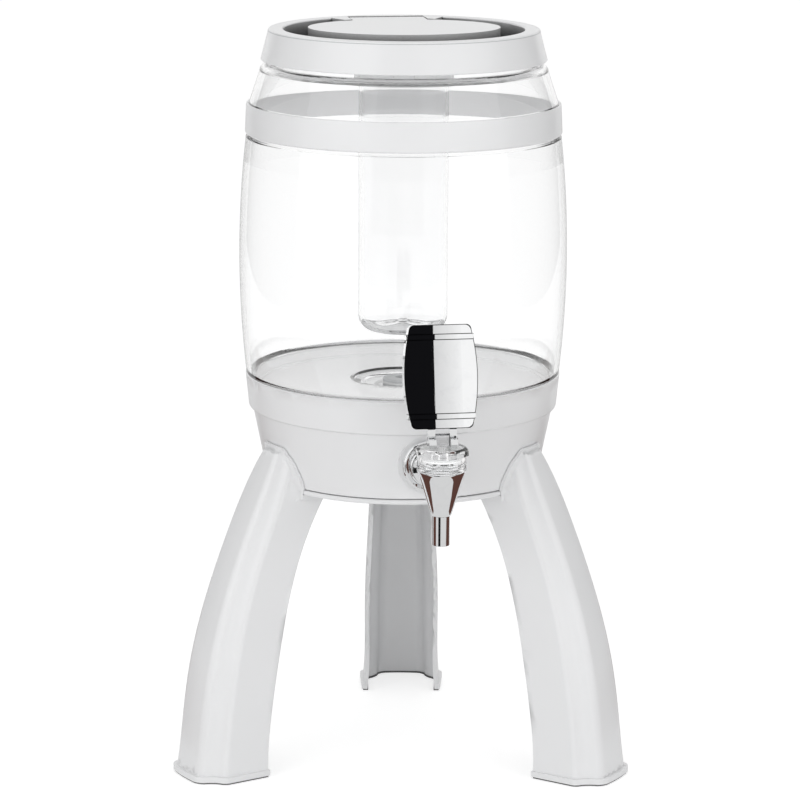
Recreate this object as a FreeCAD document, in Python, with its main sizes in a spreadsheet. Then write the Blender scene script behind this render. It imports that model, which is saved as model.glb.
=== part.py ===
import FreeCAD, Part
import math
import os

import Sketcher
from FreeCAD import Placement, Rotation, Vector

# Table-top drinks dispenser: a clear barrel on a three-legged stand, with a lift handle tap.
# Millimetres, +Z up. The origin is on the floor, on the barrel's axis. The stand is drawn with
# one leg to the rear (+Y); the barrel is drawn with its tap towards -Y, then turned in the stand.

DOC = FreeCAD.newDocument("DrinksTower")
SHEET = DOC.addObject("Spreadsheet::Sheet", "Sizes")

# Driving dimensions: cell name, size in millimetres or degrees, what it measures.
DIMENSIONS = (
    ("pad_thick", 1.0, "rubber pad under each foot"),
    ("plate_low", 168.4, "underside of the cradle above the floor"),
    ("plate_thick", 2.8, "cradle plate and its lip"),
    ("ring_radius", 82.6, "outside of the cradle lip"),
    ("bowl_gap", 0.4, "gap between the turning bowl and the stand"),
    ("bowl_low_radius", 81.7, "bowl at its bottom edge"),
    ("bowl_top_radius", 89.7, "bowl under the lower hoop"),
    ("bowl_top", 211.3, "top of the bowl's visible wall"),
    ("bowl_wall", 2.4, "wall of the moulded bowl"),
    ("deck_radius", 85.6, "white deck that closes the bowl under the clear barrel"),
    ("deck_low", 219.4, "ledge in the bowl that the deck rests on"),
    ("deck_thick", 1.6, "thickness of the deck"),
    ("pivot_radius", 8.0, "spigot the bowl turns on"),
    ("hoop_height", 20.4, "height of the lower white hoop"),
    ("barrel_foot", 232.1, "lowest visible point of the clear wall"),
    ("barrel_end_radius", 93.5, "clear wall next to the lower hoop"),
    ("barrel_bulge", 3.95, "how far the clear wall swells at its middle"),
    ("barrel_wall", 2.5, "thickness of the clear wall"),
    ("barrel_step", 372.8, "step where the clear wall draws in to the upper hoop's seat"),
    ("upper_hoop_low", 374.9, "underside of the upper hoop"),
    ("upper_hoop_height", 17.6, "height of the upper white hoop"),
    ("shoulder_top", 415.4, "top of the barrel's shoulder"),
    ("neck_radius", 78.4, "outside of the mouth under the lid"),
    ("neck_top", 427.0, "top of the barrel's mouth"),
    ("sump_radius", 29.5, "edge of the drain hollow in the barrel floor"),
    ("lid_low", 417.9, "lower edge of the lid ring"),
    ("lid_top", 436.1, "top of the lid ring"),
    ("lid_low_radius", 84.3, "lid ring just above its lower edge"),
    ("lid_top_radius", 79.9, "lid ring at its top"),
    ("well_radius", 70.8, "round well in the top of the lid"),
    ("well_floor", 424.0, "floor of the well"),
    ("hatch_radius", 56.5, "round hatch in the middle of the lid"),
    ("hatch_tab_half", 22.6, "half width of the hatch's hinge tab"),
    ("hatch_pin_back", 65.6, "hinge pin behind the barrel axis"),
    ("hatch_pin_radius", 1.25, "hinge pin of the hatch"),
    ("knuckle_radius", 3.4, "round knuckle of the hatch hinge"),
    ("hatch_relief", 1.6, "room behind the knuckle for the tab when the hatch stands open"),
    ("tube_radius", 26.6, "outside of the ice tube"),
    ("tube_wall", 2.0, "wall of the ice tube"),
    ("tube_low", 256.5, "bottom of the ice tube"),
    ("tube_top", 417.3, "top of the ice tube's flange"),
    ("shank_height", 193.5, "tap shank above the floor"),
    ("shank_radius", 8.0, "thread of the tap shank"),
    ("boss_face", 88.4, "flat face on the bowl that the tap seats on"),
    ("tap_reach", 134.0, "tap axis from the barrel axis"),
    ("cone_low", 175.0, "bottom of the tap's cone"),
    ("cone_top", 201.0, "top of the tap's cone"),
    ("cone_low_radius", 5.9, "tap cone at its bottom"),
    ("cone_top_radius", 13.5, "tap cone at its top"),
    ("spout_low", 157.5, "end of the spout"),
    ("spout_radius", 4.95, "outside of the spout tube"),
    ("bonnet_top", 214.8, "flat top of the clear bonnet"),
    ("bonnet_radius", 14.05, "clear bonnet below its head"),
    ("cam_height", 4.4, "handle pivot above the cam's flat"),
    ("cam_gap", 0.1, "cam's flat above the bonnet at rest"),
    ("cam_lead", 3.0, "stem lift for each radian of handle tilt"),
    ("cam_angle", 50.0, "handle tilt that opens the tap fully"),
    ("handle_lean", 11.0, "how far the plaque leans back at rest, degrees"),
    ("handle_rise", 5.6, "bottom of the plaque above the pivot, along its lean"),
    ("handle_tall", 58.5, "height of the plaque"),
    ("handle_half", 17.9, "half width of the plaque at its ends"),
    ("handle_bulge", 3.1, "how far the plaque's sides swell"),
    ("handle_thick", 6.5, "plaque at its edges"),
    ("handle_crown", 2.6, "rise of the plaque's front face"),
    ("stem_radius", 2.7, "valve stem"),
    ("spring_radius", 5.0, "middle of the valve spring's coil"),
    ("spring_wire", 0.45, "radius of the valve spring's wire"),
    ("hose_radius", 7.2, "outside of the silicone outlet hose"),
    ("leg_wall", 3.0, "wall of a moulded leg"),
    ("foot_reach", 147.0, "outer face of a leg at the floor"),
    ("foot_inner", 104.0, "inner edge of a leg at the floor"),
    ("foot_half", 25.0, "half width of a leg at the floor"),
    ("barrel_turn", 9.5, "how far the barrel stands turned in the stand, degrees"),
)


class Size:
    """A size that keeps its number together with the sheet formula that gives it."""

    def __init__(self, value, formula):
        self.value = float(value)
        self.formula = formula

    @staticmethod
    def of(item):
        return item if isinstance(item, Size) else Size(item, f"{float(item):.5f}")

    def _join(self, other, sign, value):
        return Size(value, f"({self.formula} {sign} {Size.of(other).formula})")

    def __add__(self, other):
        return self._join(other, "+", self.value + Size.of(other).value)

    def __sub__(self, other):
        return self._join(other, "-", self.value - Size.of(other).value)

    def __mul__(self, other):
        return self._join(other, "*", self.value * Size.of(other).value)

    def __truediv__(self, other):
        return self._join(other, "/", self.value / Size.of(other).value)

    def __radd__(self, other):
        return Size.of(other) + self

    def __rsub__(self, other):
        return Size.of(other) - self

    def __rmul__(self, other):
        return Size.of(other) * self

    def __neg__(self):
        return Size.of(0) - self


class Cells:
    """The driving dimensions, one attribute for each sheet cell."""


SIZE = Cells()
for row, (alias, number, note) in enumerate(DIMENSIONS, start=1):
    SHEET.set(f"A{row}", note)
    SHEET.set(f"B{row}", str(number))
    SHEET.setAlias(f"B{row}", alias)
    setattr(SIZE, alias, Size(number, f"Sizes.{alias}"))
DOC.recompute()

# Sizes worked out from the driving dimensions.
PLATE_TOP = SIZE.plate_low + SIZE.plate_thick
BOWL_LOW = PLATE_TOP + SIZE.bowl_gap
BOWL_SLOPE = (SIZE.bowl_top_radius - SIZE.bowl_low_radius) / (SIZE.bowl_top - BOWL_LOW)
HUB_LOW = SIZE.plate_low - 6.0
LOWER_HOOP_LOW = SIZE.bowl_top + 0.2
LOWER_HOOP_TOP = LOWER_HOOP_LOW + SIZE.hoop_height
UPPER_HOOP_TOP = SIZE.upper_hoop_low + SIZE.upper_hoop_height
PIVOT_PIN = SIZE.bonnet_top + SIZE.cam_gap + SIZE.cam_height
HATCH_PIN_HEIGHT = SIZE.lid_top - SIZE.knuckle_radius - 0.1


# ---------------------------------------------------------------- sketch and feature helpers

def bind(thing, path, size):
    """Set a property from the sheet when the size has a formula, so that the sheet drives it."""
    thing.setExpression(path, Size.of(size).formula)


def new_body(name, turned=True):
    """Start a body; parts of the barrel are turned with it about the vertical axis."""
    body = DOC.addObject("PartDesign::Body", name)
    body.Label = name
    body.AllowCompound = True
    if turned:
        turn(body, SIZE.barrel_turn)
    return body


def turn(body, angle):
    """Turn a whole body about the barrel's axis."""
    body.Placement = Placement(Vector(0, 0, 0), Rotation(Vector(0, 0, 1), Size.of(angle).value))
    bind(body, "Placement.Rotation.Angle", angle)


def new_sketch(body, name, plane="XZ_Plane", lift=0, up=0, across=0, lean=None):
    """A sketch on one of the body's own planes; lift is along the plane's normal, and lean
    tips the sketch back about its own level axis."""
    sketch = body.newObject("Sketcher::SketchObject", name)
    support = next(item for item in body.Origin.OriginFeatures if item.Role == plane)
    sketch.AttachmentSupport = [(support, "")]
    sketch.MapMode = "FlatFace"
    shift = [Size.of(across), Size.of(up), Size.of(lift)]
    tip = Rotation(Vector(-1, 0, 0), lean.value) if lean else Rotation()
    sketch.AttachmentOffset = Placement(Vector(*(item.value for item in shift)), tip)
    if lean:
        bind(sketch, "AttachmentOffset.Rotation.Angle", lean)
    for letter, item in zip("xyz", shift):
        if item.value:
            bind(sketch, f"AttachmentOffset.Base.{letter}", item)
    return sketch


def hold_corner(sketch, edge, end, x, y, tag):
    """Hold one end of an edge at a place that the sheet drives."""
    for kind, size, axis in (("DistanceX", Size.of(x), -2), ("DistanceY", Size.of(y), -1)):
        if abs(size.value) < 1e-9:
            sketch.addConstraint(Sketcher.Constraint("PointOnObject", edge, end, axis))
            continue
        index = sketch.addConstraint(Sketcher.Constraint(kind, -1, 1, edge, end, size.value))
        cell = f"{kind[-1].lower()}_{tag}"
        sketch.renameConstraint(index, cell)
        bind(sketch, f"Constraints.{cell}", size)


def outline(sketch, corners, tag="c"):
    """Draw a closed outline. A corner is (x, y) or (x, y, bulge), and bulge turns the side
    that leaves the corner into an arc that swells to the right of its way by that much."""
    first = sketch.GeometryCount
    count = len(corners)
    places = [(Size.of(corner[0]), Size.of(corner[1])) for corner in corners]
    for index, corner in enumerate(corners):
        here, there = places[index], places[(index + 1) % count]
        start = Vector(here[0].value, here[1].value, 0)
        finish = Vector(there[0].value, there[1].value, 0)
        if len(corner) == 2:
            sketch.addGeometry(Part.LineSegment(start, finish))
            continue
        bulge = Size.of(corner[2])
        run = finish - start
        right = Vector(run.y, -run.x, 0).normalize()
        middle = (start + finish) * 0.5 + right * bulge.value
        edge = sketch.addGeometry(Part.Arc(start, middle, finish))
        run_x, run_y = there[0] - here[0], there[1] - here[1]
        rise = bulge if bulge.value > 0 else -bulge
        radius = (run_x * run_x + run_y * run_y) / (rise * 8.0) + rise / 2.0
        held = sketch.addConstraint(Sketcher.Constraint("Radius", edge, radius.value))
        sketch.renameConstraint(held, f"r_{tag}{index}")
        bind(sketch, f"Constraints.r_{tag}{index}", radius)
    ends = [arc_ends(sketch, first + index, places[index]) for index in range(count)]
    for index in range(count):
        after = (index + 1) % count
        sketch.addConstraint(Sketcher.Constraint(
            "Coincident", first + index, ends[index][1], first + after, ends[after][0]))
        hold_corner(sketch, first + index, ends[index][0], *places[index], f"{tag}{index}")
    return sketch


def arc_ends(sketch, edge, start):
    """Which end of an edge is at its start: arcs are stored counter-clockwise."""
    low = sketch.getPoint(edge, 1)
    at_start = math.hypot(low.x - start[0].value, low.y - start[1].value) < 1e-6
    return (1, 2) if at_start else (2, 1)


def circle(sketch, x, y, radius, tag="hole"):
    """Draw a circle whose centre and radius the sheet drives."""
    x, y, radius = Size.of(x), Size.of(y), Size.of(radius)
    shape = Part.Circle(Vector(x.value, y.value, 0), Vector(0, 0, 1), radius.value)
    edge = sketch.addGeometry(shape)
    hold_corner(sketch, edge, 3, x, y, tag)
    index = sketch.addConstraint(Sketcher.Constraint("Radius", edge, radius.value))
    sketch.renameConstraint(index, f"radius_{tag}")
    bind(sketch, f"Constraints.radius_{tag}", radius)
    return sketch


def box_corners(left, low, right, high):
    """Corners of an upright rectangle."""
    return [(left, low), (right, low), (right, high), (left, high)]


def turned_feature(body, kind, sketch, axis="V_Axis"):
    """A full Revolution or Groove about an axis of its own sketch."""
    feature = body.newObject(f"PartDesign::{kind}", f"{sketch.Name}_{kind}")
    feature.Profile = sketch
    feature.ReferenceAxis = (sketch, [axis])
    feature.Angle = 360
    sketch.Visibility = False
    body.Tip = feature
    return feature


def straight_feature(body, kind, sketch, length, backwards=False, both_ways=False):
    """A Pad or Pocket of a given length."""
    feature = body.newObject(f"PartDesign::{kind}", f"{sketch.Name}_{kind}")
    feature.Profile = sketch
    feature.Length = Size.of(length).value
    bind(feature, "Length", length)
    feature.Reversed = backwards
    feature.Midplane = both_ways
    sketch.Visibility = False
    body.Tip = feature
    return feature


def around(body, features, count):
    """Repeat features evenly about the barrel's axis."""
    pattern = body.newObject("PartDesign::PolarPattern", f"{body.Name}_around")
    pattern.Originals = features
    axis = next(item for item in body.Origin.OriginFeatures if item.Role == "Z_Axis")
    pattern.Axis = (axis, [""])
    pattern.Angle = 360
    pattern.Occurrences = count
    body.Tip = pattern
    return pattern


def revolved(name, corners, turned=True, plane="XZ_Plane", axis="V_Axis", **shift):
    """A body that is one outline turned about an axis: V_Axis is upright, H_Axis is level."""
    body = new_body(name, turned)
    sketch = outline(new_sketch(body, f"{name}_profile", plane, **shift), corners)
    turned_feature(body, "Revolution", sketch, axis)
    return body


def hexagon(across_flats):
    """Corners of a hexagon about the sketch origin, from its size across the flats."""
    reach = Size.of(across_flats) / math.sqrt(3.0)
    angles = [math.radians(60 * step) for step in range(6)]
    return [(reach * math.cos(angle), reach * math.sin(angle)) for angle in angles]


# ---------------------------------------------------------------- stand

LEG_ANGLES = (("left", 120.0), ("right", -120.0), ("rear", 0.0))
SCREW_REACH = 74.5
SCREW_SIDE = 9.0
SCREW_BOSS = 10.0
BOSS_RADIUS = 4.0
SHELF_HALF = 18.5
RIB_END = 56.0
TONGUE_TOP = 195.2

# A leg is drawn at the rear. Each level: height, outer face and inner edge from the barrel
# axis, then how wide the moulding is there as a share of its width at the floor.
LEG_LEVELS = (
    (SIZE.pad_thick, SIZE.foot_reach, SIZE.foot_inner, 1.0, 1.0),
    (Size.of(48.0), SIZE.foot_reach - 6.0, SIZE.foot_inner - 4.0, 0.94, 0.96),
    (Size.of(96.0), SIZE.foot_reach - 16.5, SIZE.foot_inner - 13.0, 0.88, 0.91),
    (Size.of(144.0), SIZE.foot_reach - 34.0, SIZE.foot_inner - 28.5, 0.81, 0.85),
    (Size.of(172.0), SIZE.foot_reach - 46.5, SIZE.foot_inner - 44.0, 0.74, 0.80),
    (Size.of(192.0), SIZE.foot_reach - 56.8, SIZE.foot_inner - 60.0, 0.50, 0.60),
)


def leg_section(reach, inner, outer_share, inner_share, shrink=0.0):
    """Half of a leg's section, from its inner edge round to the middle of its outer face.
    The wall leans out to a shoulder; a shallow flute then leads to the narrower face."""
    wide = SIZE.foot_half * outer_share - shrink
    edge = SIZE.foot_half * 0.96 * inner_share - shrink
    face = reach - shrink
    shoulder = face - 14.5 * outer_share
    ridge = face - 4.0 * outer_share
    return [
        (edge, inner),
        (wide, shoulder - 3.0 * outer_share, 1.0 * outer_share),
        (wide - 2.6 * outer_share, shoulder + 2.6 * outer_share, -0.7 * outer_share),
        (wide * 0.70, ridge, 1.1 * outer_share),
        (wide * 0.40, face, 0.5 * outer_share),
    ]


def whole_section(half):
    """Mirror a half section into a closed outline that runs counter-clockwise."""
    mirrored = []
    for index in range(len(half) - 2, -1, -1):
        x, y = half[index][0], half[index][1]
        side = half[index - 1][2:] if index > 0 else ()
        mirrored.append((-x, y) + side)
    last = half[-1]
    start = (-last[0], last[1]) + half[-2][2:]
    return half + [start] + mirrored


def lofted(body, kind, sketches):
    """An additive or subtractive loft through sketches."""
    feature = body.newObject(f"PartDesign::{kind}", f"{body.Name}_{kind}")
    feature.Profile = sketches[0]
    feature.Sections = sketches[1:]
    for sketch in sketches:
        sketch.Visibility = False
    body.Tip = feature
    return feature


def bowl_radius(height, gap):
    """Outside of the bowl at a height, with a gap added."""
    return SIZE.bowl_low_radius + (height - BOWL_LOW) * BOWL_SLOPE + gap


def make_leg(name, angle):
    """One leg: a channel open to the inside, a foot rim, and a tongue that laps the bowl."""
    body = new_body(f"leg_{name}", turned=False)
    turn(body, angle)

    # Tongue against the bowl, cut to a thin conical flange.
    tongue = new_sketch(body, f"{name}_tongue")
    top = Size.of(TONGUE_TOP)
    outline(tongue, [
        (-21.8, 165.0), (21.8, 165.0), (22.6, 171.0, 1.0), (20.2, 183.0, 1.0),
        (14.0, top - 3.6, 1.3), (7.5, top), (-7.5, top, 1.3), (-14.0, top - 3.6, 1.0),
        (-20.2, 183.0, 1.0), (-22.6, 171.0)])
    pad = straight_feature(body, "Pad", tongue, 110.0, backwards=True)
    outside = new_sketch(body, f"{name}_outside")
    low, high = Size.of(160.0), Size.of(200.0)
    flange = 2.2
    outline(outside, [
        (bowl_radius(low, flange), low), (130.0, low), (130.0, high),
        (bowl_radius(high, flange), high)])
    turned_feature(body, "Groove", outside)

    # Outer moulding and the channel inside it, both lofted through level sections.
    outer, inner = [], []
    for step, (level, reach, edge, outer_share, inner_share) in enumerate(LEG_LEVELS):
        outer_half = leg_section(reach, edge, outer_share, inner_share)
        outer.append(outline(
            new_sketch(body, f"{name}_outer{step}", "XY_Plane", lift=level),
            whole_section(outer_half)))
        inner_half = leg_section(reach, edge - 30.0, outer_share, inner_share, SIZE.leg_wall)
        drop = 0.5 if step == 0 else 0.0
        inner.append(outline(
            new_sketch(body, f"{name}_inner{step}", "XY_Plane", lift=level - drop),
            whole_section(inner_half)))
    lofted(body, "AdditiveLoft", outer)

    # Rim round the foot.
    rim_half = leg_section(SIZE.foot_reach + 1.6, SIZE.foot_inner - 0.6, 1.06, 1.04)
    rim = outline(new_sketch(body, f"{name}_rim", "XY_Plane", lift=SIZE.pad_thick),
                  whole_section(rim_half))
    straight_feature(body, "Pad", rim, 3.4)
    lofted(body, "SubtractiveLoft", inner)

    # Room for the bowl and for the cradle.
    room = new_sketch(body, f"{name}_room")
    outline(room, [
        (0, 130.0), (SIZE.foot_inner - 44.0, 130.0), (SIZE.foot_inner - 44.0, SIZE.plate_low - 0.1),
        (SIZE.ring_radius + 0.2, SIZE.plate_low - 0.1), (SIZE.ring_radius + 0.2, PLATE_TOP),
        (bowl_radius(PLATE_TOP, SIZE.bowl_gap), PLATE_TOP + 0.2),
        (bowl_radius(high, SIZE.bowl_gap), high), (0, high)])
    turned_feature(body, "Groove", room)

    # Shelf under the cradle's screw bosses.
    shelf = new_sketch(body, f"{name}_shelf", "XY_Plane", lift=SIZE.plate_low - SCREW_BOSS - 3.0)
    outline(shelf, box_corners(-SHELF_HALF, SCREW_REACH - 5.0, SHELF_HALF, SCREW_REACH + 9.5))
    for side in (-1, 1):
        circle(shelf, side * SCREW_SIDE, SCREW_REACH, 2.0, f"screw{side + 1}")
    straight_feature(body, "Pad", shelf, 3.0)
    return body


def make_foot_pad(name, angle):
    """Thin rubber pad that follows the foot's channel."""
    body = new_body(f"foot_pad_{name}", turned=False)
    turn(body, angle)
    outer = leg_section(SIZE.foot_reach + 0.8, SIZE.foot_inner + 0.4, 1.03, 1.01)
    straight_feature(body, "Pad", outline(
        new_sketch(body, f"pad_{name}_outer", "XY_Plane"), whole_section(outer)), SIZE.pad_thick)
    inner = leg_section(SIZE.foot_reach, SIZE.foot_inner - 30.0, 1.0, 1.0, SIZE.leg_wall + 0.6)
    straight_feature(body, "Pocket", outline(
        new_sketch(body, f"pad_{name}_inner", "XY_Plane", lift=SIZE.pad_thick),
        whole_section(inner)), SIZE.pad_thick + 1.0)
    return body


def make_stand_ring():
    """Cradle plate with its rounded lip, centre hub, stiffening ribs and screw bosses."""
    rim = SIZE.ring_radius
    body = revolved("stand_ring", [
        (SIZE.pivot_radius + 0.05, HUB_LOW), (14.0, HUB_LOW), (14.0, SIZE.plate_low),
        (rim - 1.3, SIZE.plate_low, 0.5), (rim, SIZE.plate_low + 1.3),
        (rim, PLATE_TOP - 0.6), (rim - 0.6, PLATE_TOP), (SIZE.pivot_radius + 0.05, PLATE_TOP),
    ], turned=False)
    rib = new_sketch(body, "rib", "XY_Plane", lift=SIZE.plate_low)
    outline(rib, box_corners(-1.2, -RIB_END, 1.2, -13.0))
    ribs = straight_feature(body, "Pad", rib, 5.0, backwards=True)
    bosses = new_sketch(body, "bosses", "XY_Plane", lift=SIZE.plate_low)
    for side in (-1, 1):
        circle(bosses, side * SCREW_SIDE, SCREW_REACH, BOSS_RADIUS, f"boss{side + 1}")
    boss = straight_feature(body, "Pad", bosses, SCREW_BOSS, backwards=True)
    pilots = new_sketch(body, "pilots", "XY_Plane", lift=SIZE.plate_low - SCREW_BOSS)
    for side in (-1, 1):
        circle(pilots, side * SCREW_SIDE, SCREW_REACH, 1.35, f"pilot{side + 1}")
    pilot = straight_feature(body, "Pocket", pilots, SCREW_BOSS - 1.0, backwards=True)
    around(body, [ribs, boss, pilot], 3)
    return body


def make_leg_screws():
    """Six pan-head screws that hold the legs to the cradle from below."""
    body = new_body("leg_screws", turned=False)
    seat = SIZE.plate_low - SCREW_BOSS - 3.0
    made = []
    for side in (-1, 1):
        sketch = new_sketch(body, f"screw{side + 1}", lift=-SCREW_REACH, across=side * SCREW_SIDE)
        outline(sketch, [
            (0, seat - 2.2), (2.4, seat - 2.2, 0.35), (3.5, seat - 0.8), (3.5, seat),
            (1.35, seat), (1.35, seat + 10.0), (0.6, seat + 11.2), (0, seat + 11.2)])
        made.append(turned_feature(body, "Revolution", sketch))
    around(body, made, 3)
    return body


# ---------------------------------------------------------------- bowl, barrel and hoops

def make_base_bowl():
    """Tapered bowl with its turning spigot, a ledge for the deck and the tap's flat seat."""
    wall = SIZE.bowl_wall
    collar = SIZE.bowl_top_radius - 1.4
    floor = BOWL_LOW + wall
    ledge = SIZE.deck_low
    body = revolved("base_bowl", [
        (0, BOWL_LOW), (SIZE.bowl_low_radius - 0.9, BOWL_LOW, 0.35),
        (bowl_radius(BOWL_LOW + 0.9, 0), BOWL_LOW + 0.9),
        (SIZE.bowl_top_radius, SIZE.bowl_top), (collar, SIZE.bowl_top),
        (collar, SIZE.bowl_top + 10.0), (collar - wall, SIZE.bowl_top + 10.0),
        (collar - wall, ledge), (collar - wall - 2.4, ledge), (collar - wall - 2.4, ledge - 1.4),
        (collar - wall, ledge - 4.6), (collar - wall, SIZE.bowl_top - 1.5),
        (bowl_radius(floor, 0) - wall, floor), (0, floor)])
    spigot = new_sketch(body, "spigot", "XY_Plane", lift=HUB_LOW - 0.2)
    circle(spigot, 0, 0, SIZE.pivot_radius)
    straight_feature(body, "Pad", spigot, BOWL_LOW - HUB_LOW + 12.0)
    pilot = new_sketch(body, "spigot_pilot", "XY_Plane", lift=HUB_LOW - 0.2)
    circle(pilot, 0, 0, 2.1)
    straight_feature(body, "Pocket", pilot, 16.0, backwards=True)

    boss = new_sketch(body, "tap_boss", lift=SIZE.boss_face - 9.0)
    circle(boss, 0, SIZE.shank_height, 17.0)
    straight_feature(body, "Pad", boss, 9.0)
    seat = new_sketch(body, "tap_seat", lift=SIZE.boss_face)
    circle(seat, 0, SIZE.shank_height, 17.0)
    straight_feature(body, "Pocket", seat, 8.0, backwards=True)
    inside = new_sketch(body, "tap_inside", lift=SIZE.boss_face - 4.0)
    circle(inside, 0, SIZE.shank_height, 14.6)
    straight_feature(body, "Pocket", inside, 12.0)
    bore = new_sketch(body, "tap_bore", lift=SIZE.boss_face + 1.0)
    circle(bore, 0, SIZE.shank_height, SIZE.shank_radius + 0.2)
    straight_feature(body, "Pocket", bore, 12.0)
    return body


def make_deck_plate():
    """White deck on the bowl's ledge; the drain nut comes through its hole."""
    rim, hole = SIZE.deck_radius, 17.0
    low = SIZE.deck_low + 0.05
    top = low + SIZE.deck_thick
    return revolved("deck_plate", [
        (hole, low), (rim, low), (rim, top - 0.4), (rim - 0.4, top), (hole, top)])


def make_lower_hoop():
    """White hoop that joins the bowl to the clear barrel."""
    inner = SIZE.bowl_top_radius - 1.2
    top_radius = SIZE.barrel_end_radius + 0.4
    return revolved("lower_hoop", [
        (inner, LOWER_HOOP_LOW), (91.0, LOWER_HOOP_LOW, 0.3), (92.1, LOWER_HOOP_LOW + 1.4),
        (top_radius, LOWER_HOOP_TOP - 0.6), (top_radius - 0.6, LOWER_HOOP_TOP),
        (SIZE.barrel_end_radius - 2.7, LOWER_HOOP_TOP),
        (SIZE.barrel_end_radius - 2.7, SIZE.bowl_top + 10.3), (inner, SIZE.bowl_top + 10.3)])


def make_barrel_shell():
    """Clear barrel: skirt, swelling wall, seat for the upper hoop, shoulder, mouth and a
    floor that falls to a round drain hollow."""
    wall = SIZE.barrel_wall
    foot, end = SIZE.barrel_foot, SIZE.barrel_end_radius
    step = SIZE.barrel_step
    skirt = end - 2.9
    seat_low, seat_high = end - 2.1, end - 2.2
    bend = SIZE.shoulder_top - 3.6
    neck = SIZE.neck_radius
    sump = SIZE.sump_radius
    floor = foot - 0.9
    return revolved("barrel_shell", [
        (skirt, foot - 10.4), (skirt, foot), (end, foot, SIZE.barrel_bulge),
        (end - 0.3, step), (seat_low, step), (seat_high, UPPER_HOOP_TOP + 0.2),
        (end - 8.6, bend, 0.8), (end - 11.6, SIZE.shoulder_top),
        (neck, SIZE.shoulder_top), (neck, SIZE.neck_top), (neck - wall, SIZE.neck_top),
        (neck - wall, SIZE.shoulder_top - wall), (end - 13.0, SIZE.shoulder_top - wall, -0.3),
        (end - 8.5 - wall, bend - 1.1), (seat_high - wall, UPPER_HOOP_TOP), (seat_low - wall, step),
        (end - wall - 0.3, step - 3.0, -SIZE.barrel_bulge), (end - wall, foot + 2.2, -0.7),
        (end - wall - 3.0, floor), (sump, floor - 3.6), (sump - 1.0, floor - 5.0),
        (sump - 6.5, floor - 5.6), (sump - 7.2, floor - 6.6), (8.3, floor - 6.8),
        (8.3, floor - 9.6), (sump - 4.0, floor - 9.4), (sump + 2.0, floor - 6.6),
        (skirt - wall, floor - 3.4), (skirt - wall, foot - 10.4)])


def make_upper_hoop():
    """White hoop pressed round the barrel's upper seat, a little above the step."""
    low, top = SIZE.upper_hoop_low, UPPER_HOOP_TOP
    end = SIZE.barrel_end_radius
    return revolved("upper_hoop", [
        (end - 1.95, low), (end - 0.9, low, 0.3), (end + 0.15, low + 1.2),
        (end - 0.6, top - 0.5), (end - 1.1, top), (end - 2.05, top)])


# ---------------------------------------------------------------- lid, hatch and ice tube

SPIGOT_RADIUS = SIZE.tube_radius + 0.8


def make_lid_ring():
    """Lid ring: sloping skirt, rounded rim, the well with its floor, the ice tube's threaded
    spigot, and at the rear a bridge with the notch for the hatch's hinge tab."""
    low, top = SIZE.lid_low, SIZE.lid_top
    well, floor = SIZE.well_radius, SIZE.well_floor
    neck = SIZE.neck_radius
    body = revolved("lid_ring", [
        (neck + 0.7, low), (SIZE.lid_low_radius - 0.4, low), (SIZE.lid_low_radius, low + 0.4),
        (SIZE.lid_top_radius, top - 0.9, 0.3), (SIZE.lid_top_radius - 0.9, top),
        (well + 1.0, top, 0.25), (well, top - 0.9), (well - 0.3, floor),
        (SIZE.tube_radius - 2.0, floor), (SIZE.tube_radius - 2.0, SIZE.tube_top + 0.1),
        (SPIGOT_RADIUS, SIZE.tube_top + 0.1), (SPIGOT_RADIUS, floor - 2.4),
        (well + 2.0, floor - 2.4), (well + 2.4, SIZE.neck_top + 1.2),
        (neck + 0.7, SIZE.neck_top + 1.2)])
    bridge = new_sketch(body, "bridge", "XY_Plane", lift=floor - 1.0)
    half = math.radians(28.5)
    inner, outer = SIZE.hatch_radius + 0.7, well + 0.4
    sag_in = 1.0 - math.cos(half)
    outline(bridge, [
        (inner * math.sin(half), inner * math.cos(half)),
        (outer * math.sin(half), outer * math.cos(half), outer * sag_in),
        (outer * -math.sin(half), outer * math.cos(half)),
        (inner * -math.sin(half), inner * math.cos(half), inner * -sag_in)])
    straight_feature(body, "Pad", bridge, top - floor + 1.0)
    notch = new_sketch(body, "notch", "XY_Plane", lift=top + 1.0)
    reach = SIZE.hatch_pin_back + SIZE.knuckle_radius + SIZE.hatch_relief
    side = SIZE.hatch_tab_half + 0.5
    outline(notch, box_corners(-side, 50.0, side, reach))
    straight_feature(body, "Pocket", notch, 9.6)
    pin = new_sketch(body, "pin_hole", "YZ_Plane")
    circle(pin, SIZE.hatch_pin_back, HATCH_PIN_HEIGHT, SIZE.hatch_pin_radius)
    straight_feature(body, "Pocket", pin, 53.6, both_ways=True)
    return body


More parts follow.
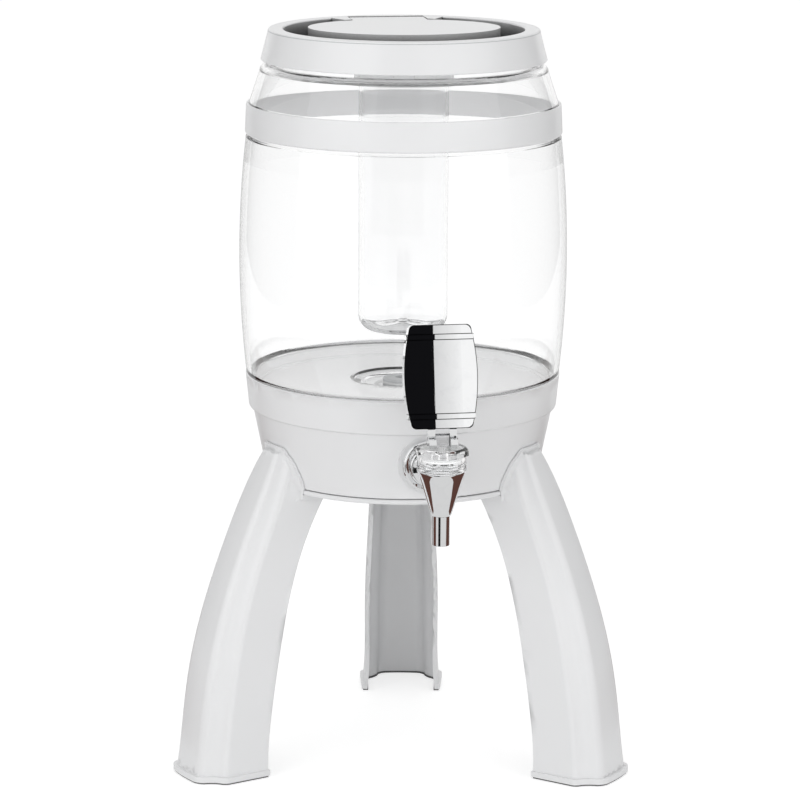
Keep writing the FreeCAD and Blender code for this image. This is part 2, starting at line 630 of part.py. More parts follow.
def make_lid_hatch():
    """Hatch: a shallow cap with a slightly sloping top, its hinge tab and knuckle."""
    radius, floor = SIZE.hatch_radius, SIZE.well_floor + 0.2
    rear_top, front_top = SIZE.lid_top - 0.5, SIZE.lid_top + 2.0
    body = revolved("lid_hatch", [
        (radius - 2.4, floor), (radius, floor), (radius, front_top), (0, front_top),
        (0, SIZE.lid_top - 2.8), (radius - 2.4, SIZE.lid_top - 2.8)])
    slope = new_sketch(body, "slope", "YZ_Plane")
    outline(slope, [
        (-radius - 1.0, front_top), (radius + 1.0, rear_top), (radius + 1.0, front_top + 3.0),
        (-radius - 1.0, front_top + 3.0)])
    straight_feature(body, "Pocket", slope, radius * 2.5, both_ways=True)
    tab = new_sketch(body, "tab", "YZ_Plane")
    outline(tab, [
        (48.0, SIZE.lid_top - 3.0), (SIZE.hatch_pin_back, HATCH_PIN_HEIGHT - SIZE.knuckle_radius),
        (SIZE.hatch_pin_back, HATCH_PIN_HEIGHT + SIZE.knuckle_radius), (48.0, SIZE.lid_top - 0.4)])
    straight_feature(body, "Pad", tab, SIZE.hatch_tab_half * 2.0, both_ways=True)
    knuckle = new_sketch(body, "knuckle", "YZ_Plane")
    circle(knuckle, SIZE.hatch_pin_back, HATCH_PIN_HEIGHT, SIZE.knuckle_radius)
    straight_feature(body, "Pad", knuckle, SIZE.hatch_tab_half * 2.0, both_ways=True)
    bore = new_sketch(body, "knuckle_bore", "YZ_Plane")
    circle(bore, SIZE.hatch_pin_back, HATCH_PIN_HEIGHT, SIZE.hatch_pin_radius + 0.06)
    straight_feature(body, "Pocket", bore, SIZE.hatch_tab_half * 2.0 + 4.0, both_ways=True)
    return body


def make_hatch_pin():
    """Steel pin of the hatch hinge."""
    body = new_body("hatch_pin")
    pin = new_sketch(body, "pin", "YZ_Plane")
    circle(pin, SIZE.hatch_pin_back, HATCH_PIN_HEIGHT, SIZE.hatch_pin_radius)
    straight_feature(body, "Pad", pin, 53.0, both_ways=True)
    return body


def make_lid_seal():
    """Silicone ring between the lid's well and the barrel's mouth."""
    inner = SIZE.well_radius + 2.35
    outer = SIZE.neck_radius - SIZE.barrel_wall - 0.15
    return revolved("lid_seal", [
        (inner, 422.6), (outer - 0.5, 422.6), (outer, 423.4), (outer - 0.5, 424.2),
        (outer, 425.0), (outer - 0.5, 425.8), (inner, 425.8)])


def make_tube_collar():
    """Screw collar that holds the ice tube to the lid."""
    inner = SPIGOT_RADIUS + 0.15
    low = SIZE.tube_top - 4.3
    return revolved("tube_collar", [
        (SIZE.tube_radius + 0.12, low), (29.1, low), (29.5, low + 0.4),
        (29.5, SIZE.well_floor - 2.7), (inner, SIZE.well_floor - 2.7),
        (inner, SIZE.tube_top - 2.1), (SIZE.tube_radius + 0.12, SIZE.tube_top - 2.1)])


def make_ice_tube():
    """Clear ice tube: flange at its mouth, straight wall, round corner, pushed-up bottom."""
    outer, wall, low = SIZE.tube_radius, SIZE.tube_wall, SIZE.tube_low
    return revolved("ice_tube", [
        (0, low + 4.2), (2.5, low + 4.2, 0.9), (15.5, low), (17.6, low, 2.5),
        (outer, low + 9.0), (outer, SIZE.tube_top - 2.0),
        (SPIGOT_RADIUS, SIZE.tube_top - 2.0), (SPIGOT_RADIUS, SIZE.tube_top),
        (outer - wall, SIZE.tube_top), (outer - wall, low + 9.2, -2.0),
        (17.2, low + wall), (15.9, low + wall, -0.9), (2.5, low + 4.2 + wall),
        (0, low + 4.2 + wall)])


# ---------------------------------------------------------------- outlet inside the bowl

def make_outlet_fitting():
    """Drain fitting: flange in the hollow, threaded stem, and a barbed elbow to the front."""
    floor = SIZE.barrel_foot - 0.9
    top = floor - 6.8 + 1.3
    body = revolved("outlet_fitting", [
        (0, 186.0), (6.5, 186.0, 0.5), (7.8, 187.6), (7.8, top), (11.8, top),
        (11.8, top + 1.0), (10.8, top + 1.8), (0, top + 1.8)])
    barb = new_sketch(body, "elbow_barb", "YZ_Plane", up=SIZE.shank_height)
    outline(barb, [
        (-32.0, 0), (-32.0, 4.6), (-29.0, 5.3), (-29.0, 4.7), (-24.0, 5.3), (-24.0, 4.7),
        (-13.0, 4.7), (-13.0, 6.4), (0, 6.4), (0, 0)])
    turned_feature(body, "Revolution", barb, "H_Axis")
    drain = new_sketch(body, "drain", "XY_Plane", lift=SIZE.shank_height)
    circle(drain, 0, 0, 4.2)
    straight_feature(body, "Pocket", drain, 60.0, backwards=True)
    way = new_sketch(body, "way", lift=0)
    circle(way, 0, SIZE.shank_height, 3.4)
    straight_feature(body, "Pocket", way, 40.0, backwards=True)
    return body


def make_outlet_gasket():
    """Silicone washer under the drain fitting's flange."""
    floor = SIZE.barrel_foot - 0.9 - 6.8
    return revolved("outlet_gasket", [
        (7.95, floor + 0.05), (11.6, floor + 0.05), (11.6, floor + 1.25), (7.95, floor + 1.25)])


def make_outlet_nut():
    """Hexagon nut that pulls the drain fitting down on the barrel floor."""
    body = new_body("outlet_nut")
    nut = new_sketch(body, "nut", "XY_Plane", lift=SIZE.barrel_foot - 10.7 - 6.5)
    outline(nut, hexagon(25.0))
    circle(nut, 0, 0, 7.9)
    straight_feature(body, "Pad", nut, 6.5)
    return body


def make_outlet_hose():
    """Straight silicone hose from the elbow to the tap shank."""
    return revolved("outlet_hose", [
        (-14.0, 5.4), (-14.0, SIZE.hose_radius), (-69.0, SIZE.hose_radius), (-69.0, 5.4)],
        plane="YZ_Plane", axis="H_Axis", up=SIZE.shank_height)


def make_hose_clips():
    """Two spring steel hose clips, each with a pair of ears."""
    body = new_body("hose_clips")
    for step, back in enumerate((-19.0, -65.5)):
        band = new_sketch(body, f"clip{step}", "YZ_Plane", up=SIZE.shank_height)
        rise = SIZE.hose_radius + 0.05
        outline(band, box_corners(back, rise, back + 5.0, rise + 0.8))
        turned_feature(body, "Revolution", band, "H_Axis")
        for side in (-1, 1):
            ear = new_sketch(body, f"ear{step}{side + 1}", "YZ_Plane", up=SIZE.shank_height,
                             lift=side * 2.0)
            outline(ear, box_corners(back + 1.0, rise + 0.4, back + 4.0, rise + 5.5))
            straight_feature(body, "Pad", ear, 0.8, both_ways=True)
    return body


# ---------------------------------------------------------------- tap

GASKET_FRONT = SIZE.boss_face + 1.6


def make_tap_body():
    """Chrome tap body: cone with its chamber and valve seat, threaded neck for the bonnet,
    and the shank that runs back through the bowl to the hose."""
    reach = SIZE.tap_reach
    low, top = SIZE.cone_low, SIZE.cone_top
    neck = SIZE.bonnet_radius - 2.5
    body = new_body("tap_body")
    cone = outline(new_sketch(body, "cone", lift=reach), [
        (0, low), (SIZE.cone_low_radius - 0.4, low), (SIZE.cone_low_radius, low + 0.5),
        (SIZE.cone_top_radius, top - 1.2), (SIZE.cone_top_radius, top - 0.3),
        (SIZE.cone_top_radius - 0.3, top), (neck - 0.6, top), (neck - 0.6, top + 1.4),
        (neck, top + 2.0), (neck - 0.6, top + 2.8), (neck, top + 3.6), (neck - 0.6, top + 4.4),
        (neck, top + 5.2), (neck - 0.6, top + 6.0), (neck - 0.6, top + 7.2), (0, top + 7.2)])
    turned_feature(body, "Revolution", cone)
    shank = outline(new_sketch(body, "shank", "YZ_Plane", up=SIZE.shank_height), [
        (-reach, 0), (-reach, 6.6), (-reach + 9.0, 6.6, 1.2), (-reach + 14.0, 7.6),
        (-99.0, 7.6), (-98.4, 10.2), (-95.9, 10.2), (-95.9, SIZE.shank_radius),
        (-73.0, SIZE.shank_radius), (-73.0, 4.7), (-63.0, 4.7), (-63.0, 5.3), (-58.6, 4.6),
        (-58.0, 4.2), (-58.0, 0)])
    turned_feature(body, "Revolution", shank, "H_Axis")
    chamber = outline(new_sketch(body, "chamber", lift=reach), [
        (0, low - 1.0), (SIZE.spout_radius, low - 1.0), (SIZE.spout_radius, low + 5.5),
        (3.9, low + 5.5), (3.9, low + 9.0), (6.2, low + 11.0), (10.2, top), (9.0, top + 1.0),
        (9.0, top + 8.0), (0, top + 8.0)])
    turned_feature(body, "Groove", chamber)
    way = outline(new_sketch(body, "way", "YZ_Plane", up=SIZE.shank_height), [
        (-reach, 0), (-reach, 3.4), (-57.0, 3.4), (-57.0, 0)])
    turned_feature(body, "Groove", way, "H_Axis")
    return body


def make_tap_spout():
    """Plated spout tube pressed into the cone."""
    outer, low = SIZE.spout_radius, SIZE.spout_low
    return revolved("tap_spout", [
        (outer - 0.9, low), (outer - 0.3, low), (outer, low + 0.3), (outer, SIZE.cone_low + 5.4),
        (outer - 0.9, SIZE.cone_low + 5.4)], lift=SIZE.tap_reach)


def level_ring(name, corners):
    """A ring turned about the tap shank: corners are (distance from barrel axis, radius)."""
    return revolved(name, [(-reach, radius) for reach, radius in corners],
                    plane="YZ_Plane", axis="H_Axis", up=SIZE.shank_height)


def make_escutcheon():
    """Chrome flange ring with a raised inner disc."""
    bore = SIZE.shank_radius + 0.1
    back = GASKET_FRONT + 0.05
    return level_ring("escutcheon", [
        (back, bore), (back + 5.6, bore), (back + 5.6, 10.6), (back + 5.0, 11.2),
        (back + 3.4, 11.4), (back + 3.4, 13.4), (back + 2.6, 14.8), (back + 1.2, 15.2),
        (back, 15.2)])


def make_tap_gaskets():
    """Silicone washers on both sides of the bowl's wall."""
    bore = SIZE.shank_radius + 0.1
    outer = level_ring("tap_gasket_outer", [
        (SIZE.boss_face + 0.05, bore), (GASKET_FRONT, bore), (GASKET_FRONT, 14.0),
        (SIZE.boss_face + 0.05, 14.0)])
    inside = SIZE.boss_face - 4.0
    inner = level_ring("tap_gasket_inner", [
        (inside - 0.05, bore), (inside - 0.05, 13.6), (inside - 1.6, 13.6), (inside - 1.6, bore)])
    return outer, inner


def make_tap_nut():
    """Hexagon nut on the shank, inside the bowl."""
    body = new_body("tap_nut")
    nut = new_sketch(body, "nut", lift=SIZE.boss_face - 5.7, up=SIZE.shank_height)
    outline(nut, hexagon(24.0))
    circle(nut, 0, 0, SIZE.shank_radius + 0.05)
    straight_feature(body, "Pad", nut, 6.0, backwards=True)
    return body


def make_bonnet():
    """Clear bonnet: screw cap with thread rings showing, and an eight-sided head."""
    outer, top = SIZE.bonnet_radius, SIZE.bonnet_top
    neck = outer - 2.35
    low = SIZE.cone_top + 0.3
    ceiling = SIZE.cone_top + 8.3
    body = new_body("bonnet")
    head = new_sketch(body, "head", "XY_Plane", lift=top - 4.6, up=-SIZE.tap_reach)
    corner = 15.6
    outline(head, [
        (corner * math.cos(math.radians(45 * step + 22.5)),
         corner * math.sin(math.radians(45 * step + 22.5))) for step in range(8)])
    straight_feature(body, "Pad", head, 4.6)
    cap = outline(new_sketch(body, "cap", lift=SIZE.tap_reach), [
        (0, low), (outer, low), (outer, low + 1.2), (outer - 0.5, low + 1.9), (outer, low + 2.6),
        (outer - 0.5, low + 3.4), (outer, low + 4.2), (outer - 0.5, low + 5.0), (outer, low + 5.8),
        (outer, top - 4.6), (0, top - 4.6)])
    turned_feature(body, "Revolution", cap)
    bevel = outline(new_sketch(body, "bevel", lift=SIZE.tap_reach), [
        (13.2, top + 0.1), (15.0, top - 1.6), (18.0, top - 1.6), (18.0, top + 0.1)])
    turned_feature(body, "Groove", bevel)
    hollow = outline(new_sketch(body, "hollow", lift=SIZE.tap_reach), [
        (0, low - 0.1), (neck, low - 0.1), (neck, ceiling), (SIZE.stem_radius + 0.3, ceiling),
        (SIZE.stem_radius + 0.3, top + 0.2), (0, top + 0.2)])
    turned_feature(body, "Groove", hollow)
    return body


SEAL_RISE = 7.25


def make_bonnet_seal():
    """Silicone disc clamped between the bonnet and the neck of the tap body."""
    low = SIZE.cone_top + SEAL_RISE
    return revolved("bonnet_seal", [
        (SIZE.stem_radius + 0.15, low), (11.2, low), (11.2, low + 1.0),
        (SIZE.stem_radius + 0.15, low + 1.0)], lift=SIZE.tap_reach)


SHOULDER = SIZE.cone_low + 21.6


def make_valve_stem():
    """Valve stem with a spring shoulder, a button for the seat cup and a drilled head."""
    low = SIZE.cone_low + 10.4
    body = new_body("valve_stem")
    rod = outline(new_sketch(body, "rod", lift=SIZE.tap_reach), [
        (0, low), (3.2, low), (3.2, low + 1.2), (1.8, low + 1.2), (1.8, low + 4.4),
        (SIZE.stem_radius, low + 4.4), (SIZE.stem_radius, SHOULDER - 1.2),
        (6.6, SHOULDER - 1.2), (6.6, SHOULDER), (SIZE.stem_radius, SHOULDER),
        (SIZE.stem_radius, SIZE.bonnet_top + 1.0), (0, SIZE.bonnet_top + 1.0)])
    turned_feature(body, "Revolution", rod)
    head = new_sketch(body, "head", "YZ_Plane", across=-SIZE.tap_reach)
    outline(head, [
        (-3.0, SIZE.bonnet_top + 0.4), (3.0, SIZE.bonnet_top + 0.4), (3.0, PIVOT_PIN, 2.9),
        (-3.0, PIVOT_PIN)])
    straight_feature(body, "Pad", head, 7.8, both_ways=True)
    bore = new_sketch(body, "bore", "YZ_Plane", across=-SIZE.tap_reach)
    circle(bore, 0, PIVOT_PIN, 1.3)
    straight_feature(body, "Pocket", bore, 12.0, both_ways=True)
    return body


def make_seat_cup():
    """Silicone cup that closes the valve seat."""
    low = SIZE.cone_low + 9.7
    return revolved("seat_cup", [
        (0, low), (4.1, low), (5.9, low + 2.0), (5.9, low + 4.6), (3.4, low + 5.0),
        (1.85, low + 5.0), (1.85, low + 1.95), (3.25, low + 1.95), (3.25, low + 0.65),
        (0, low + 0.65)], lift=SIZE.tap_reach)


def make_valve_spring():
    """Compression spring between the stem's shoulder and the bonnet seal. Each half turn is
    an arc in a plane that tips with the pitch, so the halves meet tangent to each other."""
    turns = 3
    radius, wire = SIZE.spring_radius, SIZE.spring_wire
    low = SHOULDER + wire + 0.1
    high = SIZE.cone_top + SEAL_RISE - wire - 0.1
    pitch = (high - low) / turns
    body = new_body("valve_spring")
    halves = []
    for step, side in enumerate((1, -1)):
        start = low + pitch * 0.5 * step
        half = new_sketch(body, f"half{step}", lift=SIZE.tap_reach)
        circle(half, radius * side, start, wire, "wire")
        middle = start + pitch * 0.25
        tip = math.atan2(pitch.value * 0.25, radius.value) * side
        half.addGeometry(Part.LineSegment(
            Vector(0, middle.value, 0),
            Vector(math.sin(tip), middle.value + math.cos(tip), 0)), True)
        halves.append(turned_feature(body, "Revolution", half, "Axis0"))
        halves[-1].Angle = 180
    coil = body.newObject("PartDesign::LinearPattern", "coil")
    coil.Originals = halves
    axis = next(item for item in body.Origin.OriginFeatures if item.Role == "Z_Axis")
    coil.Direction = (axis, [""])
    coil.Length = pitch.value * (turns - 1)
    bind(coil, "Length", pitch * (turns - 1))
    coil.Occurrences = turns
    body.Tip = coil
    return body


def cam_curve():
    """Toe of the cam, about the pivot: an involute whose support height grows in proportion
    to the tilt, so that the stem rises evenly as the handle comes over."""
    points = []
    steps = 6
    for step in range(steps + 1):
        tilt = math.radians(SIZE.cam_angle.value) * step / steps
        height = SIZE.cam_height.value + SIZE.cam_lead.value * tilt
        points.append(Vector(
            -height * math.sin(tilt) - SIZE.cam_lead.value * math.cos(tilt),
            -height * math.cos(tilt) + SIZE.cam_lead.value * math.sin(tilt), 0))
    return points


def leaned(back, rise):
    """A place beside the pivot, turned with the handle's lean; back and rise are lengths."""
    lean = math.radians(SIZE.handle_lean.value)
    return Vector(back * math.cos(lean) + rise * math.sin(lean),
                  rise * math.cos(lean) - back * math.sin(lean), 0)


def make_tap_handle():
    """Handle: barrel-shaped plaque with a crowned face, two hoop bands, and a fork whose
    toes are cams. The plaque leans back from the pivot; the cams' flats stay level."""
    reach, lean = SIZE.tap_reach, SIZE.handle_lean
    low, half = SIZE.handle_rise, SIZE.handle_half
    top = low + SIZE.handle_tall
    thick, crown = SIZE.handle_thick, SIZE.handle_crown
    cosine, sine = math.cos(math.radians(lean.value)), math.sin(math.radians(lean.value))
    body = new_body("tap_handle")

    def slab_sketch(name, rise, side, front):
        """Section of the plaque, square to its lean: flat back and a face that swells."""
        sketch = new_sketch(body, name, "XY_Plane", lift=PIVOT_PIN + rise * cosine,
                            up=rise * sine - reach, lean=lean)
        return outline(sketch, [
            (-side, -front, crown), (side, -front), (side, thick / 2.0), (-side, thick / 2.0)])

    slab = slab_sketch("slab", low, half + SIZE.handle_bulge + 0.5, thick / 2.0)
    straight_feature(body, "Pad", slab, SIZE.handle_tall)
    frame = new_sketch(body, "frame", lift=reach, up=PIVOT_PIN, lean=lean)
    outline(frame, box_corners(-40.0, low - 10.0, 40.0, top + 10.0), "out")
    corner = 3.2
    outline(frame, [
        (-half + corner, low), (half - corner, low, 0.95), (half, low + corner, SIZE.handle_bulge),
        (half, top - corner, 0.95), (half - corner, top), (-half + corner, top, 0.95),
        (-half, top - corner, SIZE.handle_bulge), (-half, low + corner, 0.95)], "in")
    straight_feature(body, "Pocket", frame, 40.0, both_ways=True)
    for step, rise in enumerate((low + 5.4, top - 8.5)):
        band = slab_sketch(f"band{step}", rise, half + 1.35, thick / 2.0 + 0.2)
        straight_feature(body, "Pad", band, 3.1)

    toe = cam_curve()
    for step, side in enumerate((-1, 1)):
        prong = new_sketch(body, f"prong{step}", "YZ_Plane", lift=side * 6.15, across=-reach,
                           up=PIVOT_PIN)
        curve = Part.BSplineCurve()
        curve.interpolate(toe)
        prong.addGeometry(curve)
        route = [toe[-1], Vector(-6.2, 0.6, 0), Vector(-3.0, 2.0, 0), leaned(-3.0, 7.0),
                 leaned(3.0, 7.0), Vector(3.0, -2.6, 0), Vector(1.6, -SIZE.cam_height.value, 0),
                 toe[0]]
        for start, finish in zip(route[:-1], route[1:]):
            prong.addGeometry(Part.LineSegment(start, finish))
        straight_feature(body, "Pad", prong, 4.1, both_ways=True)
    bore = new_sketch(body, "fork_bore", "YZ_Plane", across=-reach)
    circle(bore, 0, PIVOT_PIN, 1.25)
    straight_feature(body, "Pocket", bore, 24.0, both_ways=True)
    return body


def make_handle_pin():
    """Pin through the fork and the head of the stem."""
    body = new_body("handle_pin")
    pin = new_sketch(body, "pin", "YZ_Plane", across=-SIZE.tap_reach)
    circle(pin, 0, PIVOT_PIN, 1.25)
    straight_feature(body, "Pad", pin, 16.8, both_ways=True)
    return body


def make_swivel_fixings():
    """Washer and screw under the hub, turning with the bowl."""
    under = HUB_LOW - 0.2
    revolved("pivot_washer", [
        (2.7, under - 1.5), (12.5, under - 1.5), (12.5, under), (2.7, under)])
    seat = under - 1.5
    revolved("pivot_screw", [
        (0, seat - 3.0), (3.2, seat - 3.0, 0.5), (4.8, seat - 1.0), (4.8, seat), (2.1, seat),
        (2.1, seat + 13.5), (1.0, seat + 15.0), (0, seat + 15.0)])


# ---------------------------------------------------------------- build, check and write

for leg_name, leg_angle in LEG_ANGLES:
    make_leg(leg_name, leg_angle)
    make_foot_pad(leg_name, leg_angle)
make_stand_ring()
make_leg_screws()
make_swivel_fixings()
make_base_bowl()
make_deck_plate()
make_lower_hoop()
make_barrel_shell()
make_upper_hoop()
make_lid_ring()
make_lid_hatch()
make_hatch_pin()
make_lid_seal()
make_tube_collar()
make_ice_tube()
make_outlet_fitting()
make_outlet_gasket()
make_outlet_nut()
make_outlet_hose()
make_hose_clips()
make_tap_body()
make_tap_spout()
make_escutcheon()
make_tap_gaskets()
make_tap_nut()
make_bonnet()
make_bonnet_seal()
make_valve_stem()
make_seat_cup()
make_valve_spring()
make_tap_handle()
make_handle_pin()
DOC.recompute()

faults = [f"{item.Label} {item.State}" for item in DOC.Objects
          if "Invalid" in item.State or "Error" in item.State]
if faults:
    raise RuntimeError(f"not computed: {faults}")

idle = [item.Label for item in DOC.Objects
        if item.TypeId.endswith(("Pocket", "Groove", "SubtractiveLoft"))
        and item.BaseFeature.Shape.Volume - item.Shape.Volume < 0.1]
if idle:
    raise RuntimeError(f"these cut nothing: {idle}")

os.makedirs("parts", exist_ok=True)
for item in DOC.Objects:
    if item.TypeId != "PartDesign::Body":
        continue
    if item.Shape.isNull() or not item.Shape.isValid():
        raise RuntimeError(f"{item.Label} has a bad shape")
    item.Shape.exportStep(f"parts/{item.Label}.step")
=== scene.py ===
"""Finishes, clear walls, small fittings and studio of a barrel-shaped drinks tower.

The floor is at height zero, the barrel's axis is the vertical axis and the front is minus Y.
Sizes in the classes are millimetres, as a maker's drawing has them; meshes are in metres.
Points nearer than WELD metres are one point, and faces that bend less than FLAT_ANGLE degrees
are one face. FACE_WEIGHT is how far large faces lead the shading of a smoothed corner.
MIX_LOW, MIX_HIGH and MIX_RESULT are the colour sockets of a Mix node.
"""
import logging
import math
from dataclasses import dataclass, replace
from enum import Enum
from typing import Sequence

import bmesh
import bpy
from mathutils import Matrix, Vector


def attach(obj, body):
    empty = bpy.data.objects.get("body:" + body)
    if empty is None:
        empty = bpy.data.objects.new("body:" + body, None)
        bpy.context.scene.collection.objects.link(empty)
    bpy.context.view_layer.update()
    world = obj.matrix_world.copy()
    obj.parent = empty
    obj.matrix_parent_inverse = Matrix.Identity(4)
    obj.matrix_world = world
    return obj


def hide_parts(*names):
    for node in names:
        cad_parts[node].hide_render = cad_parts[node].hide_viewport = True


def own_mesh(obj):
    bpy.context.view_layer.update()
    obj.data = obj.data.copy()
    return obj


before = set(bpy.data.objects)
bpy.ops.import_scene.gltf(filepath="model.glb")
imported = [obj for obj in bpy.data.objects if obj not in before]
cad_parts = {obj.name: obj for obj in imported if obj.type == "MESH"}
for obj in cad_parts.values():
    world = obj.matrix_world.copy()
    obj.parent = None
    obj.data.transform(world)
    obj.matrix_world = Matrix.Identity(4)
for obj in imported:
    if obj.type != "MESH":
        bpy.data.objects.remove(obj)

LOG = logging.getLogger("drinks_tower")
MM = 0.001
WELD = 1e-6
FLAT_ANGLE = 0.05
FACE_WEIGHT = 80
MIX_LOW, MIX_HIGH, MIX_RESULT = 6, 7, 2
Colour = tuple[float, float, float]
Triple = tuple[float, float, float]
Corner = tuple[float, ...]


class Slot(Enum):
    """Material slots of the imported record."""

    WHITE = "white_plastic"
    CLEAR = "clear_plastic"
    CHROME = "chrome_plate"
    STEEL = "stainless_steel"
    SILICONE = "silicone"
    GREY = "grey_plastic"
    RUBBER = "pad_rubber"


class Body(Enum):
    """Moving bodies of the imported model."""

    STAND = "stand"
    BARREL = "barrel"
    LID = "lid"
    HATCH = "hatch"
    STEM = "stem"
    HANDLE = "handle"


# ---------------------------------------------------------------- node trees


class Wiring:
    """Writes the nodes and links of one node tree."""

    def __init__(self, tree: bpy.types.NodeTree) -> None:
        """Start on an empty tree.

        Args:
            tree: the shader or geometry tree to fill.
        """
        self.tree = tree
        tree.nodes.clear()

    def add(self, kind: str, settings: dict[str, object] | None = None, **inputs: object
            ) -> bpy.types.Node:
        """Add a node.

        Args:
            kind: Blender's name of the node type.
            settings: values of the node's own properties.
            inputs: for each input name, with underscores for spaces, a value or a socket.

        Returns:
            The new node.
        """
        node = self.tree.nodes.new(kind)
        for name, value in (settings or {}).items():
            setattr(node, name, value)
        for name, value in inputs.items():
            self.feed(node, name.replace("_", " "), value)
        return node

    def feed(self, node: bpy.types.Node, name: str | int, value: object) -> None:
        """Set an input of a node, or link a socket to it.

        Args:
            node: the node that takes the value.
            name: the input's name or number.
            value: a number, a colour, a material or an output socket.
        """
        socket = node.inputs[name]
        if isinstance(value, bpy.types.NodeSocket):
            self.tree.links.new(value, socket)
        else:
            socket.default_value = value

    def maths(self, operation: str, *values: object, clamp: bool = False) -> bpy.types.NodeSocket:
        """A Math node.

        Args:
            operation: Blender's name of the operation.
            values: its operands, numbers or sockets.
            clamp: whether the result is kept from 0 to 1.

        Returns:
            The result's socket.
        """
        node = self.add("ShaderNodeMath", {"operation": operation, "use_clamp": clamp})
        for place, value in enumerate(values):
            self.feed(node, place, value)
        return node.outputs[0]

    def between(self, operation: str, first: object, second: object) -> bpy.types.Node:
        """A Vector Math node.

        Args:
            operation: Blender's name of the operation.
            first: its first vector, or that vector's socket.
            second: its second one.

        Returns:
            The node, whose outputs are "Vector" and "Value".
        """
        node = self.add("ShaderNodeVectorMath", {"operation": operation})
        self.feed(node, 0, first)
        self.feed(node, 1, second)
        return node

    def joined(self, kind: str, *parts: bpy.types.Node | bpy.types.NodeSocket) -> bpy.types.Node:
        """A node that adds or mixes shaders.

        Args:
            kind: Blender's name of the node type.
            parts: the shaders' nodes in order, and for a mix the mask's socket before them.

        Returns:
            The node.
        """
        node = self.add(kind)
        for number, part in enumerate(parts):
            result = part.outputs[0] if isinstance(part, bpy.types.Node) else part
            self.feed(node, number, result)
        return node

    def close(self, kind: str, result: bpy.types.Node) -> None:
        """Add the tree's output node and show a shader on its surface."""
        self.feed(self.add(kind), "Surface", result.outputs[0])


def new_material(name: str) -> tuple[bpy.types.Material, Wiring]:
    """Make a material with an empty node tree.

    Args:
        name: the material's name.

    Returns:
        The material and its tree's wiring.
    """
    material = bpy.data.materials.new(name)
    material.use_nodes = True
    return material, Wiring(material.node_tree)


def group_of(name: str, kind: str, takes: dict[str, tuple[str, float | None]],
             gives: dict[str, str]) -> tuple[Wiring, bpy.types.Node, bpy.types.Node]:
    """Make an empty node group with named sockets.

    Args:
        name: the group's name.
        kind: Blender's name of the tree type.
        takes: for each input its socket type and first value.
        gives: for each output its socket type.

    Returns:
        The group's wiring, its input node and its output node.
    """
    tree = bpy.data.node_groups.new(name, kind)
    for label, (socket, value) in takes.items():
        made = tree.interface.new_socket(label, in_out="INPUT", socket_type=socket)
        if value is not None:
            made.default_value = value
    for label, socket in gives.items():
        tree.interface.new_socket(label, in_out="OUTPUT", socket_type=socket)
    wiring = Wiring(tree)
    return wiring, wiring.add("NodeGroupInput"), wiring.add("NodeGroupOutput")


